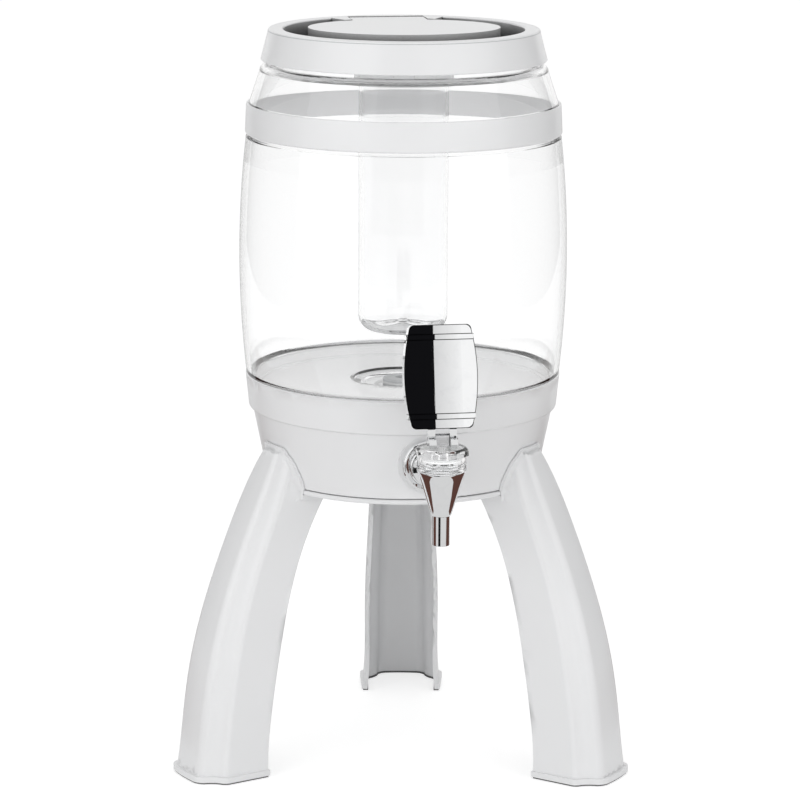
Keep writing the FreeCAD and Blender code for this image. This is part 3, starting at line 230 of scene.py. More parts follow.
class Effects:
    """Shader groups that several finishes share, each built once."""

    def __init__(self) -> None:
        """Build the groups."""
        self.moulding = self._moulding()
        self.handling = self._handling()
        # Mask for the painted shade that darkens colours in gaps and corners.
        self.painted_gap_shade = self._painted_gap_shade_group()

    @staticmethod
    def _moulding() -> bpy.types.NodeTree:
        """Flow marks, slow waviness and fine grain of a moulded surface.

        Returns:
            The shader group.
        """
        value = "NodeSocketFloat"
        wiring, takes, gives = group_of(
            "moulded_surface", "ShaderNodeTree",
            {"Vector": ("NodeSocketVector", None), "Grain Scale": (value, 2600.0),
             "Wave Scale": (value, 28.0), "Grain": (value, 0.4)},
            {"Cloud": value, "Gloss": value, "Height": value})
        place = takes.outputs["Vector"]
        cloud = wiring.add("ShaderNodeTexNoise", Vector=place, Scale=takes.outputs["Wave Scale"],
                           Detail=3.0, Roughness=0.55)
        stretched = wiring.add("ShaderNodeMapping", Vector=place)
        stretched.inputs["Scale"].default_value = (1.0, 1.0, 0.16)
        flow = wiring.add("ShaderNodeTexNoise", Vector=stretched.outputs[0],
                          Scale=wiring.maths("MULTIPLY", takes.outputs["Wave Scale"], 5.0),
                          Detail=4.0, Roughness=0.6, Distortion=0.4)
        grain = wiring.add("ShaderNodeTexNoise", Vector=place,
                           Scale=takes.outputs["Grain Scale"], Detail=2.0, Roughness=0.7)
        gloss = wiring.maths("ADD", wiring.maths("MULTIPLY", cloud.outputs["Fac"], 0.5),
                             wiring.maths("MULTIPLY", flow.outputs["Fac"], 0.5))
        grained = wiring.maths("MULTIPLY", grain.outputs["Fac"], takes.outputs["Grain"])
        wiring.feed(gives, "Cloud", cloud.outputs["Fac"])
        wiring.feed(gives, "Gloss", gloss)
        wiring.feed(gives, "Height", wiring.maths("ADD", gloss, grained))
        return wiring.tree

    @staticmethod
    def _handling() -> bpy.types.NodeTree:
        """Hairline scratches and soft smudges that use leaves on a smooth surface.

        Returns:
            The shader group.
        """
        value = "NodeSocketFloat"
        wiring, takes, gives = group_of(
            "handled_surface", "ShaderNodeTree",
            {"Vector": ("NodeSocketVector", None), "Smudge Scale": (value, 60.0),
             "Hairlines": (value, 0.5)},
            {"Smudge": value, "Hairline": value, "Height": value})
        place = takes.outputs["Vector"]
        smudge = wiring.add("ShaderNodeTexNoise", Vector=place, Scale=takes.outputs["Smudge Scale"],
                            Detail=5.0, Roughness=0.62, Distortion=0.8)
        patch = wiring.add("ShaderNodeMapRange", Value=smudge.outputs["Fac"], From_Min=0.48,
                           From_Max=0.78)
        lines = None
        for turn, scale in ((0.5, 900.0), (1.9, 1300.0)):
            turned = wiring.add("ShaderNodeMapping", Vector=place)
            turned.inputs["Rotation"].default_value = (turn, turn * 0.6, turn * 1.4)
            turned.inputs["Scale"].default_value = (1.0, 0.02, 0.02)
            hair = wiring.add("ShaderNodeTexNoise", Vector=turned.outputs[0], Scale=scale,
                              Detail=1.0)
            thin = wiring.add("ShaderNodeMapRange", Value=hair.outputs["Fac"], From_Min=0.66,
                              From_Max=0.74)
            lines = (thin.outputs[0] if lines is None
                     else wiring.maths("MAXIMUM", lines, thin.outputs[0]))
        hairline = wiring.maths("MULTIPLY", lines, takes.outputs["Hairlines"])
        wiring.feed(gives, "Smudge", patch.outputs[0])
        wiring.feed(gives, "Hairline", hairline)
        wiring.feed(gives, "Height", wiring.maths("MULTIPLY", hairline, -1.0))
        return wiring.tree

    @staticmethod
    def _painted_gap_shade_group() -> bpy.types.NodeTree:
        """Mask of painted shade: how deep in a gap or a corner a place lies, by ambient occlusion, 0
        in the open, 1 where little light comes.

        Returns:
            The shader group.
        """
        value = "NodeSocketFloat"
        wiring, takes, gives = group_of(
            "painted_shade_in_gaps", "ShaderNodeTree",
            {"Reach": (value, 0.02), "Start": (value, 0.12), "End": (value, 0.6)}, {"Depth": value})
        open_sky = wiring.add("ShaderNodeAmbientOcclusion", {"samples": 8},
                              Distance=takes.outputs["Reach"])
        shut = wiring.maths("SUBTRACT", 1.0, open_sky.outputs["AO"])
        depth = wiring.add("ShaderNodeMapRange", Value=shut, From_Min=takes.outputs["Start"],
                           From_Max=takes.outputs["End"])
        wiring.feed(gives, "Depth", depth.outputs[0])
        return wiring.tree


# ---------------------------------------------------------------- finishes


class Finish:
    """A finish: it names the record's slot and dresses a material for it."""

    slot: Slot
    name: str

    def dress(self, wiring: Wiring, shader: bpy.types.Node, effects: Effects) -> None:
        """Wire the finish into a Principled shader.

        Args:
            wiring: the material's node tree.
            shader: the Principled shader.
            effects: the shared shader groups.
        """
        raise NotImplementedError


def blended(wiring: Wiring, mask: bpy.types.NodeSocket, low: Colour | bpy.types.NodeSocket,
            high: Colour) -> bpy.types.NodeSocket:
    """A colour that runs from low to high as the mask goes from 0 to 1.

    Args:
        wiring: the node tree.
        mask: the socket of the mask.
        low: the colour, or its socket, where the mask is 0.
        high: the colour where the mask is 1.

    Returns:
        The socket of the colour.
    """
    mix = wiring.add("ShaderNodeMix", {"data_type": "RGBA"}, Factor=mask)
    plain = not isinstance(low, bpy.types.NodeSocket)
    wiring.feed(mix, MIX_LOW, (*low, 1.0) if plain else low)
    wiring.feed(mix, MIX_HIGH, (*high, 1.0))
    return mix.outputs[MIX_RESULT]


def ranged(wiring: Wiring, mask: bpy.types.NodeSocket, low: float, high: float
           ) -> bpy.types.NodeSocket:
    """A value that runs from low to high as the mask goes from 0 to 1."""
    return wiring.add("ShaderNodeMapRange", Value=mask, To_Min=low, To_Max=high).outputs[0]


def group_node(wiring: Wiring, tree: bpy.types.NodeTree, **inputs: object) -> bpy.types.Node:
    """Place a shared group in a material, fed with the object's own coordinates.

    Args:
        wiring: the material's node tree.
        tree: the shared group.
        inputs: values of the group's other inputs, with underscores for spaces.

    Returns:
        The group's node.
    """
    place = wiring.add("ShaderNodeTexCoord")
    node = wiring.add("ShaderNodeGroup", {"node_tree": tree})
    for name, value in {"Vector": place.outputs["Object"], **inputs}.items():
        wiring.feed(node, name.replace("_", " "), value)
    return node


def with_painted_gap_shade(wiring: Wiring, effects: Effects, colour: bpy.types.NodeSocket, reach: float,
             shade: Colour) -> bpy.types.NodeSocket:
    """A colour that falls to a shade in gaps and corners.

    Args:
        wiring: the material's node tree.
        effects: the shared shader groups.
        colour: the socket of the open surface's colour.
        reach: how far the walls of a gap may stand off, in metres.
        shade: the colour of the painted shade deep in a gap.

    Returns:
        The socket of the colour.
    """
    gap = wiring.add("ShaderNodeGroup", {"node_tree": effects.painted_gap_shade}, Reach=reach)
    return blended(wiring, gap.outputs["Depth"], colour, shade)


def relief(wiring: Wiring, height: bpy.types.NodeSocket, strength: float, depth: float
           ) -> bpy.types.NodeSocket:
    """A bumped normal from a height mask; depth is in metres."""
    return wiring.add("ShaderNodeBump", Strength=strength, Distance=depth,
                      Height=height).outputs["Normal"]


@dataclass(frozen=True)
class Moulded(Finish):
    """Opaque moulded plastic or rubber with its grain, faint flow marks and, where asked, painted
    shade in gaps.
    """

    name: str
    slot: Slot
    low: Colour
    high: Colour
    smooth: float
    rough: float
    grain: float = 0.4
    depth: float = 0.00004
    bump: float = 0.35
    ior: float = 1.5
    coat: float = 0.0
    coat_rough: float = 0.12
    # Reach in metres and colour of the painted shade in gaps and corners.
    painted_gap_shade: float = 0.0
    shade: Colour = (0.1, 0.1, 0.1)

    def dress(self, wiring: Wiring, shader: bpy.types.Node, effects: Effects) -> None:
        """Cloudy colour with painted shade that darkens it in deep gaps, uneven gloss and a shallow
        moulded relief.

        Args:
            wiring: the material's node tree.
            shader: the Principled shader.
            effects: the shared shader groups.
        """
        skin = group_node(wiring, effects.moulding, Grain=self.grain)
        colour = blended(wiring, skin.outputs["Cloud"], self.low, self.high)
        # Painted shade: the colour falls to the shade colour in deep gaps.
        if self.painted_gap_shade > 0.0:
            colour = with_painted_gap_shade(wiring, effects, colour, self.painted_gap_shade, self.shade)
        wiring.feed(shader, "Base Color", colour)
        gloss = ranged(wiring, skin.outputs["Gloss"], self.smooth, self.rough)
        wiring.feed(shader, "Roughness", gloss)
        wiring.feed(shader, "Normal", relief(wiring, skin.outputs["Height"], self.bump, self.depth))
        wiring.feed(shader, "IOR", self.ior)
        wiring.feed(shader, "Coat Weight", self.coat)
        wiring.feed(shader, "Coat Roughness", self.coat_rough)


@dataclass(frozen=True)
class Clear(Finish):
    """Clear moulded plastic with faint handling marks."""

    name: str
    slot: Slot
    tint: Colour
    ior: float = 1.49
    smooth: float = 0.0
    rough: float = 0.03
    hairlines: float = 0.3
    depth: float = 0.000006
    bump: float = 0.3

    def dress(self, wiring: Wiring, shader: bpy.types.Node, effects: Effects) -> None:
        """Transmission with a slight tint, uneven polish and hairlines.

        Args:
            wiring: the material's node tree.
            shader: the Principled shader.
            effects: the shared shader groups.
        """
        skin = group_node(wiring, effects.handling, Hairlines=self.hairlines)
        gloss = ranged(wiring, skin.outputs["Smudge"], self.smooth, self.rough)
        wiring.feed(shader, "Base Color", (*self.tint, 1.0))
        wiring.feed(shader, "Roughness", gloss)
        wiring.feed(shader, "Normal", relief(wiring, skin.outputs["Height"], self.bump, self.depth))
        wiring.feed(shader, "IOR", self.ior)
        wiring.feed(shader, "Transmission Weight", 1.0)


@dataclass(frozen=True)
class Plaque:
    """Where the handle's plaque and its two bands have their edges, in metres, for the painted dark
    lines of shade along them.

    Heights run from the handle's pivot along the plaque's lean.
    """

    pivot: Triple = (0.022116, -0.132162, 0.2193)
    up: Triple = (-0.03149, 0.18819, 0.98163)
    across: Triple = (0.986286, 0.165048, 0.0)
    front: Triple = (0.1620, -0.9682, 0.1908)
    facing: float = 0.9
    middle: float = 0.03485
    half_tall: float = 0.02925
    half_wide: float = 0.0179
    swell: float = 0.0031
    corner: float = 0.0032
    bands: tuple[float, ...] = (0.01255, 0.05715)
    band_half: float = 0.00155
    # Widths of the painted shade lines along the face's edge and the bands' edges.
    edge_shade_width: float = 0.00042
    band_shade_width: float = 0.000231

    def _depth(self, wiring: Wiring, side: bpy.types.NodeSocket, off: bpy.types.NodeSocket
               ) -> bpy.types.NodeSocket:
        """How far a place lies outside the plaque's rounded outline; inside it is negative.

        Args:
            wiring: the material's node tree.
            side: how far the place lies from the plaque's middle line.
            off: how far it lies above or below the plaque's middle.

        Returns:
            The distance's socket.
        """
        maths = wiring.maths
        share = maths("DIVIDE", off, self.half_tall - self.corner)
        swell = maths("MULTIPLY", maths("SUBTRACT", 1.0, maths("MULTIPLY", share, share)), self.swell)
        wide = maths("SUBTRACT", maths("SUBTRACT", side, self.half_wide - self.corner), swell)
        tall = maths("SUBTRACT", off, self.half_tall - self.corner)
        out_wide, out_tall = maths("MAXIMUM", wide, 0.0), maths("MAXIMUM", tall, 0.0)
        beyond = maths("SQRT", maths("ADD", maths("MULTIPLY", out_wide, out_wide),
                                     maths("MULTIPLY", out_tall, out_tall)))
        within = maths("MINIMUM", maths("MAXIMUM", wide, tall), 0.0)
        return maths("SUBTRACT", maths("ADD", beyond, within), self.corner)

    def lines(self, wiring: Wiring) -> bpy.types.NodeSocket:
        """A mask for painted shade lines: 1 along the edges of the plaque's face, where it faces the
        front, and of its bands.

        Args:
            wiring: the material's node tree.

        Returns:
            The mask's socket.
        """
        maths, between = wiring.maths, wiring.between
        coordinates = wiring.add("ShaderNodeTexCoord")
        place = between("SUBTRACT", coordinates.outputs["Object"], self.pivot).outputs["Vector"]
        height = between("DOT_PRODUCT", place, self.up).outputs["Value"]
        side = maths("ABSOLUTE", between("DOT_PRODUCT", place, self.across).outputs["Value"])
        off = maths("ABSOLUTE", maths("SUBTRACT", height, self.middle))
        facing = between("DOT_PRODUCT", coordinates.outputs["Normal"], self.front).outputs["Value"]
        away = maths("ABSOLUTE", self._depth(wiring, side, off))
        rim = maths("MULTIPLY", maths("LESS_THAN", away, self.edge_shade_width),
                    maths("GREATER_THAN", facing, self.facing))
        edges = None
        for band in self.bands:
            away = maths("ABSOLUTE", maths("SUBTRACT", height, band))
            edge = maths("LESS_THAN", maths("ABSOLUTE", maths("SUBTRACT", away, self.band_half)),
                         self.band_shade_width)
            rim = maths("MULTIPLY", rim, maths("GREATER_THAN", away, self.band_half))
            edges = edge if edges is None else maths("MAXIMUM", edges, edge)
        return maths("MAXIMUM", edges, rim)


@dataclass(frozen=True)
class Metal(Finish):
    """Plated or plain metal with smudges and hairlines, and where asked painted shade in corners and
    painted dark lines on the handle's plaque.
    """

    name: str
    slot: Slot
    low: Colour
    high: Colour
    smooth: float
    rough: float
    hairlines: float = 0.4
    smudges: float = 110.0
    depth: float = 0.000006
    bump: float = 0.25
    # Reach in metres and colour of the painted shade in corners; the same colour paints the plaque's
    # dark lines.
    painted_gap_shade: float = 0.0
    shade: Colour = (0.04, 0.04, 0.04)
    # Painted dark lines of shade along the handle plaque's edges and bands.
    plaque_shade_lines: Plaque | None = None

    def dress(self, wiring: Wiring, shader: bpy.types.Node, effects: Effects) -> None:
        """Metal colour with painted shade in corners and painted dark lines on the plaque, gloss
        broken by smudges, and hairlines in the relief.

        Args:
            wiring: the material's node tree.
            shader: the Principled shader.
            effects: the shared shader groups.
        """
        skin = group_node(wiring, effects.handling, Hairlines=self.hairlines,
                          Smudge_Scale=self.smudges)
        marks = wiring.maths("ADD", skin.outputs["Smudge"], skin.outputs["Hairline"], clamp=True)
        colour = blended(wiring, skin.outputs["Smudge"], self.high, self.low)
        # Painted shade: the colour falls to the shade colour in corners.
        if self.painted_gap_shade > 0.0:
            colour = with_painted_gap_shade(wiring, effects, colour, self.painted_gap_shade, self.shade)
        # Painted dark lines of shade along the plaque's edges and bands.
        if self.plaque_shade_lines is not None:
            colour = blended(wiring, self.plaque_shade_lines.lines(wiring), colour, self.shade)
        wiring.feed(shader, "Base Color", colour)
        wiring.feed(shader, "Roughness", ranged(wiring, marks, self.smooth, self.rough))
        wiring.feed(shader, "Metallic", 1.0)
        wiring.feed(shader, "Normal", relief(wiring, skin.outputs["Height"], self.bump, self.depth))


WHITE = Moulded("white_moulding", Slot.WHITE, (0.775, 0.778, 0.785), (0.80, 0.803, 0.81),
                0.24, 0.36, grain=0.25, depth=0.00002, coat=0.15)
# The lid's white, with painted shade in its gaps.
LID_WHITE = replace(WHITE, name="lid_moulding_painted_shade", painted_gap_shade=0.02)
GREY = Moulded("grey_moulding", Slot.GREY, (0.50, 0.51, 0.52), (0.56, 0.57, 0.58), 0.38, 0.5)
SILICONE = Moulded("white_silicone", Slot.SILICONE, (0.76, 0.77, 0.77), (0.82, 0.83, 0.83),
                   0.42, 0.55, grain=0.6)
RUBBER = Moulded("pad_rubber", Slot.RUBBER, (0.10, 0.10, 0.10), (0.14, 0.14, 0.14),
                 0.6, 0.8, grain=0.9, depth=0.00008)
CLEAR = Clear("clear_moulding", Slot.CLEAR, (0.997, 0.998, 0.999))
# Chrome with painted shade in its corners.
CHROME = Metal("chrome_plate", Slot.CHROME, (0.86, 0.865, 0.875), (0.91, 0.915, 0.92), 0.02, 0.05,
               painted_gap_shade=0.0008)
# The handle's chrome, with painted dark lines of shade along its plaque's edges and bands.
HANDLE_CHROME = replace(CHROME, name="handle_chrome_painted_lines", plaque_shade_lines=Plaque())
STEEL = Metal("plain_steel", Slot.STEEL, (0.56, 0.56, 0.57), (0.66, 0.66, 0.67), 0.2, 0.38,
              hairlines=0.8, depth=0.00001)


class Palette:
    """Keeps one Blender material for each finish."""

    def __init__(self) -> None:
        """Start with the shared effects and no material."""
        self.effects = Effects()
        self.made: dict[Finish, bpy.types.Material] = {}

    def material(self, finish: Finish) -> bpy.types.Material:
        """The material of a finish, made at its first use.

        Args:
            finish: what the surface is.

        Returns:
            The Blender material.
        """
        if finish not in self.made:
            material, wiring = new_material(finish.name)
            shader = wiring.add("ShaderNodeBsdfPrincipled")
            finish.dress(wiring, shader, self.effects)
            wiring.close("ShaderNodeOutputMaterial", shader)
            self.made[finish] = material
        return self.made[finish]


# ---------------------------------------------------------------- shapes


def traced(corners: Sequence[Corner], step: float = 1.2, turn: float = 6.0, least: int = 4
           ) -> list[tuple[float, float]]:
    """Points along a closed outline whose corners may carry a bulge.

    Args:
        corners: (across, up) or (across, up, bulge); bulge is the rise of the arc on the way
            to the next corner, positive to the right of the way.
        step: longest stretch between two points of an arc, in millimetres.
        turn: widest angle between them, in degrees.
        least: fewest stretches in an arc.

    Returns:
        The points, in metres.
    """
    points: list[tuple[float, float]] = []
    for corner, after in zip(corners, [*corners[1:], corners[0]]):
        start, end = Vector(corner[:2]), Vector(after[:2])
        points.append(tuple(start * MM))
        if len(corner) == 2:
            continue
        way = end - start
        rise = corner[2]
        radius = (way.length_squared / 4.0 + rise * rise) / (2.0 * abs(rise))
        ahead = way.normalized()
        right = Vector((way.y, -way.x)).normalized() * math.copysign(1.0, rise)
        centre = (start + end) / 2.0 - right * (radius - abs(rise))
        half = math.asin(min(1.0, way.length / (2.0 * radius)))
        count = max(least, int(2.0 * half * radius / step), int(2.0 * half / math.radians(turn)))
        for number in range(1, count):
            angle = -half + 2.0 * half * number / count
            spot = centre + right * radius * math.cos(angle) + ahead * radius * math.sin(angle)
            points.append(tuple(spot * MM))
    return points


def dressed(wiring: Wiring, takes: bpy.types.Node, gives: bpy.types.Node,
            grown: bpy.types.Node) -> bpy.types.NodeTree:
    """End a geometry tree: its instances become real and take the finish.

    Args:
        wiring: the tree's wiring.
        takes: its input node, which has a "Finish" socket.
        gives: its output node.
        grown: the node that holds the finished shape.

    Returns:
        The tree.
    """
    whole = wiring.add("GeometryNodeRealizeInstances", Geometry=grown.outputs[0])
    coated = wiring.add("GeometryNodeSetMaterial", Geometry=whole.outputs[0],
                        Material=takes.outputs["Finish"])
    wiring.feed(gives, 0, coated.outputs[0])
    return wiring.tree


def turning_tree() -> bpy.types.NodeTree:
    """Geometry tree that turns the points of an outline about the vertical axis.

    Returns:
        The tree.
    """
    wiring, takes, gives = group_of(
        "turned_wall", "GeometryNodeTree",
        {"Outline": ("NodeSocketGeometry", None), "Corners": ("NodeSocketInt", 8),
         "Facets": ("NodeSocketInt", 128), "Finish": ("NodeSocketMaterial", None)},
        {"Wall": "NodeSocketGeometry"})
    rows = wiring.maths("ADD", takes.outputs["Corners"], 1)
    columns = wiring.maths("ADD", takes.outputs["Facets"], 1)
    grid = wiring.add("GeometryNodeMeshGrid", Vertices_X=rows, Vertices_Y=columns)
    index = wiring.add("GeometryNodeInputIndex").outputs[0]
    row = wiring.maths("FLOOR", wiring.maths("DIVIDE", wiring.maths("ADD", index, 0.5), columns))
    column = wiring.maths("SUBTRACT", index, wiring.maths("MULTIPLY", row, columns))
    source = wiring.maths("MODULO", row, takes.outputs["Corners"])
    spot = wiring.add("GeometryNodeSampleIndex", {"data_type": "FLOAT_VECTOR"}, Index=source,
                      Value=wiring.add("GeometryNodeInputPosition").outputs[0])
    wiring.feed(spot, 0, takes.outputs["Outline"])
    split = wiring.add("ShaderNodeSeparateXYZ", Vector=spot.outputs[0])
    turn = wiring.maths("DIVIDE", wiring.maths("MULTIPLY", column, 2.0 * math.pi),
                        takes.outputs["Facets"])
    place = wiring.add("ShaderNodeCombineXYZ",
                       X=wiring.maths("MULTIPLY", split.outputs["X"], wiring.maths("COSINE", turn)),
                       Y=wiring.maths("MULTIPLY", split.outputs["X"], wiring.maths("SINE", turn)),
                       Z=split.outputs["Y"])
    moved = wiring.add("GeometryNodeSetPosition", Geometry=grid.outputs["Mesh"],
                       Position=place.outputs[0])
    merged = wiring.add("GeometryNodeMergeByDistance", Geometry=moved.outputs[0], Distance=WELD)
    smooth = wiring.add("GeometryNodeSetShadeSmooth", Geometry=merged.outputs[0])
    return dressed(wiring, takes, gives, smooth)


def around_tree() -> bpy.types.NodeTree:
    """Geometry tree that repeats a small shape evenly round the vertical axis.

    Returns:
        The tree.
    """
    wiring, takes, gives = group_of(
        "ring_of_shapes", "GeometryNodeTree",
        {"Shape": ("NodeSocketGeometry", None), "Count": ("NodeSocketInt", 12),
         "Finish": ("NodeSocketMaterial", None)},
        {"Ring": "NodeSocketGeometry"})
    points = wiring.add("GeometryNodePoints", Count=takes.outputs["Count"])
    index = wiring.add("GeometryNodeInputIndex").outputs[0]
    share = wiring.maths("DIVIDE", index, takes.outputs["Count"])
    angle = wiring.add("ShaderNodeCombineXYZ", Z=wiring.maths("MULTIPLY", share, 2.0 * math.pi))
    copies = wiring.add("GeometryNodeInstanceOnPoints", Points=points.outputs[0],
                        Instance=takes.outputs["Shape"], Rotation=angle.outputs[0])
    return dressed(wiring, takes, gives, copies)


class Workshop:
    """Makes finished pieces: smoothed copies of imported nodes, turned walls and repeated shapes."""

    def __init__(self) -> None:
        """Set up the palette and the geometry trees."""
        self.palette = Palette()
        self.turning = turning_tree()
        self.around = around_tree()

    def _object(self, name: str, mesh: bpy.types.Mesh) -> bpy.types.Object:
        """A new object in the scene.

        Args:
            name: its name.
            mesh: its mesh.

        Returns:
            The object.
        """
        made = bpy.data.objects.new(name, mesh)
        bpy.context.scene.collection.objects.link(made)
        return made

    def _baked(self, rough: bpy.types.Object, name: str) -> bpy.types.Object:
        """Turn an object with live modifiers into a plain one.

        Args:
            rough: the object, which is removed.
            name: the name of the new object.

        Returns:
            The plain object.
        """
        graph = bpy.context.evaluated_depsgraph_get()
        mesh = bpy.data.meshes.new_from_object(rough.evaluated_get(graph))
        mesh.name = name
        bpy.data.objects.remove(rough)
        return self._object(name, mesh)

    def _grown(self, name: str, mesh: bpy.types.Mesh, tree: bpy.types.NodeTree,
               finish: Finish, inputs: dict[str, object]) -> bpy.types.Object:
        """Run a geometry tree on a mesh.

        Args:
            name: the new object's name.
            mesh: the tree's starting mesh.
            tree: the geometry tree.
            finish: the finish that the tree sets.
            inputs: values of the tree's other inputs, by name.

        Returns:
            The plain object that the tree grew.
        """
        rough = self._object(f"{name}_rough", mesh)
        modifier = rough.modifiers.new("grow", "NODES")
        modifier.node_group = tree
        values = {"Finish": self.palette.material(finish), **inputs}
        for item in tree.interface.items_tree:
            if item.item_type == "SOCKET" and item.in_out == "INPUT" and item.name in values:
                modifier[item.identifier] = values[item.name]
        return self._baked(rough, name)

    def settled(self, piece: bpy.types.Object, body: Body, finish: Finish,
                stands_for: Sequence[str] = (), sharp: float = 34.0) -> bpy.types.Object:
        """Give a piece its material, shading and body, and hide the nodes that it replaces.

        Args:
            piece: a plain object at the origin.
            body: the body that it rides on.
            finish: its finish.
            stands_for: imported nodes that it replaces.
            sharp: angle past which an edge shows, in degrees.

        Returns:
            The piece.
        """
        material = self.palette.material(finish)
        piece.data.materials.clear()
        piece.data.materials.append(material)
        for polygon in piece.data.polygons:
            polygon.use_smooth = True
            polygon.material_index = 0
        piece.data.set_sharp_from_angle(angle=math.radians(sharp))
        piece.visible_shadow = piece.visible_diffuse = finish.slot is not Slot.CLEAR
        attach(piece, body.value)
        if stands_for:
            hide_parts(*stands_for)
        LOG.info("%s: %d faces, %s, on %s", piece.name, len(piece.data.polygons), finish.name,
                 body.value)
        return piece

    def smoothed(self, node: str, body: Body, finish: Finish, edge: float = 0.0,
                 sharp: float = 34.0) -> bpy.types.Object:
        """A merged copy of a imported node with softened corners, standing for that node.

        Args:
            node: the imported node.
            body: the body that it rides on.
            finish: its finish.
            edge: how wide its corners are rounded, in millimetres.
            sharp: angle past which an edge shows, in degrees.

        Returns:
            The finished piece.
        """
        shape = bmesh.new()
        shape.from_mesh(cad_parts[node].data)
        bmesh.ops.remove_doubles(shape, verts=shape.verts, dist=WELD)
        bmesh.ops.dissolve_limit(shape, angle_limit=math.radians(FLAT_ANGLE), verts=shape.verts,
                                 edges=shape.edges)
        mesh = bpy.data.meshes.new(f"{node}_skin")
        shape.to_mesh(mesh)
        shape.free()
        piece = self._object(f"{node}_skin", mesh)
        for polygon in piece.data.polygons:
            polygon.use_smooth = True
        if edge > 0.0:
            rounding = piece.modifiers.new("rounding", "BEVEL")
            rounding.width = edge * MM
            rounding.segments = 2
            rounding.limit_method = "ANGLE"
            rounding.angle_limit = math.radians(sharp)
            rounding.harden_normals = True
        else:
            piece.data.set_sharp_from_angle(angle=math.radians(sharp))
        level = piece.modifiers.new("level", "WEIGHTED_NORMAL")
        level.keep_sharp = True
        level.weight = FACE_WEIGHT
        piece = self._baked(piece, f"{node}_skin")
        return self.settled(piece, body, finish, [node], sharp)

    def turned(self, name: str, corners: Sequence[Corner], body: Body, finish: Finish,
               stands_for: Sequence[str] = (), facets: int = 160, sharp: float = 34.0
               ) -> bpy.types.Object:
        """A wall turned about the vertical axis.

        Args:
            name: the piece's name.
            corners: its closed outline, (radius, height) with bulges, in millimetres.
            body: the body that it rides on.
            finish: its finish.
            stands_for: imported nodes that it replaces.
            facets: faces round the axis.
            sharp: angle past which an edge shows, in degrees.

        Returns:
            The finished piece.
        """
        points = traced(corners)
        mesh = bpy.data.meshes.new(f"{name}_outline")
        mesh.from_pydata([(*point, 0.0) for point in points], [], [])
        piece = self._grown(name, mesh, self.turning, finish,
                            {"Corners": len(points), "Facets": facets})
        shape = bmesh.new()
        shape.from_mesh(piece.data)
        bmesh.ops.dissolve_degenerate(shape, edges=shape.edges, dist=WELD / 10.0)
        bmesh.ops.recalc_face_normals(shape, faces=shape.faces)
        shape.to_mesh(piece.data)
        shape.free()
        return self.settled(piece, body, finish, stands_for, sharp)

    def ribs(self, name: str, size: Triple, reach: float, low: float, count: int, body: Body,
             finish: Finish, sunk: float = 0.2) -> bpy.types.Object:
        """Small upright ribs that stand evenly round the vertical axis.

        Args:
            name: the piece's name.
            size: each rib's depth, width and height, in millimetres.
            reach: radius of the wall that they stand on, in millimetres.
            low: their lower end above the floor, in millimetres.
            count: how many there are.
            body: the body that they ride on.
            finish: their finish.
            sunk: how far they reach into the wall, in millimetres.

        Returns:
            The finished piece.
        """
        deep, wide, tall = (length * MM for length in size)
        start, foot = (reach - sunk) * MM, low * MM
        section = [(start, -wide / 2.0), (start + deep, -wide / 4.0), (start + deep, wide / 4.0),
                   (start, wide / 2.0)]
        mesh = bpy.data.meshes.new(f"{name}_rib")
        mesh.from_pydata([(*corner, foot) for corner in section]
                         + [(*corner, foot + tall) for corner in section], [],
                         [(0, 3, 2, 1), (4, 5, 6, 7), (0, 1, 5, 4), (1, 2, 6, 5), (2, 3, 7, 6),
                          (3, 0, 4, 7)])
        piece = self._grown(name, mesh, self.around, finish, {"Count": count})
        return self.settled(piece, body, finish)


# ---------------------------------------------------------------- the object


@dataclass
class Stand:
    """Cradle, three legs, their pads and screws."""

    shop: Workshop
    cradle_edge: float = 0.35
    screw_edge: float = 0.15
    leg_crease: float = 30.0

    def build(self) -> None:
        """Dress the stand's pieces."""
        for side in ("left", "right", "rear"):
            self.shop.smoothed(f"leg_{side}", Body.STAND, WHITE, sharp=self.leg_crease)
            self.shop.smoothed(f"foot_pad_{side}", Body.STAND, RUBBER)
        self.shop.smoothed("stand_ring", Body.STAND, WHITE, self.cradle_edge)
        self.shop.smoothed("leg_screws", Body.STAND, STEEL, self.screw_edge)


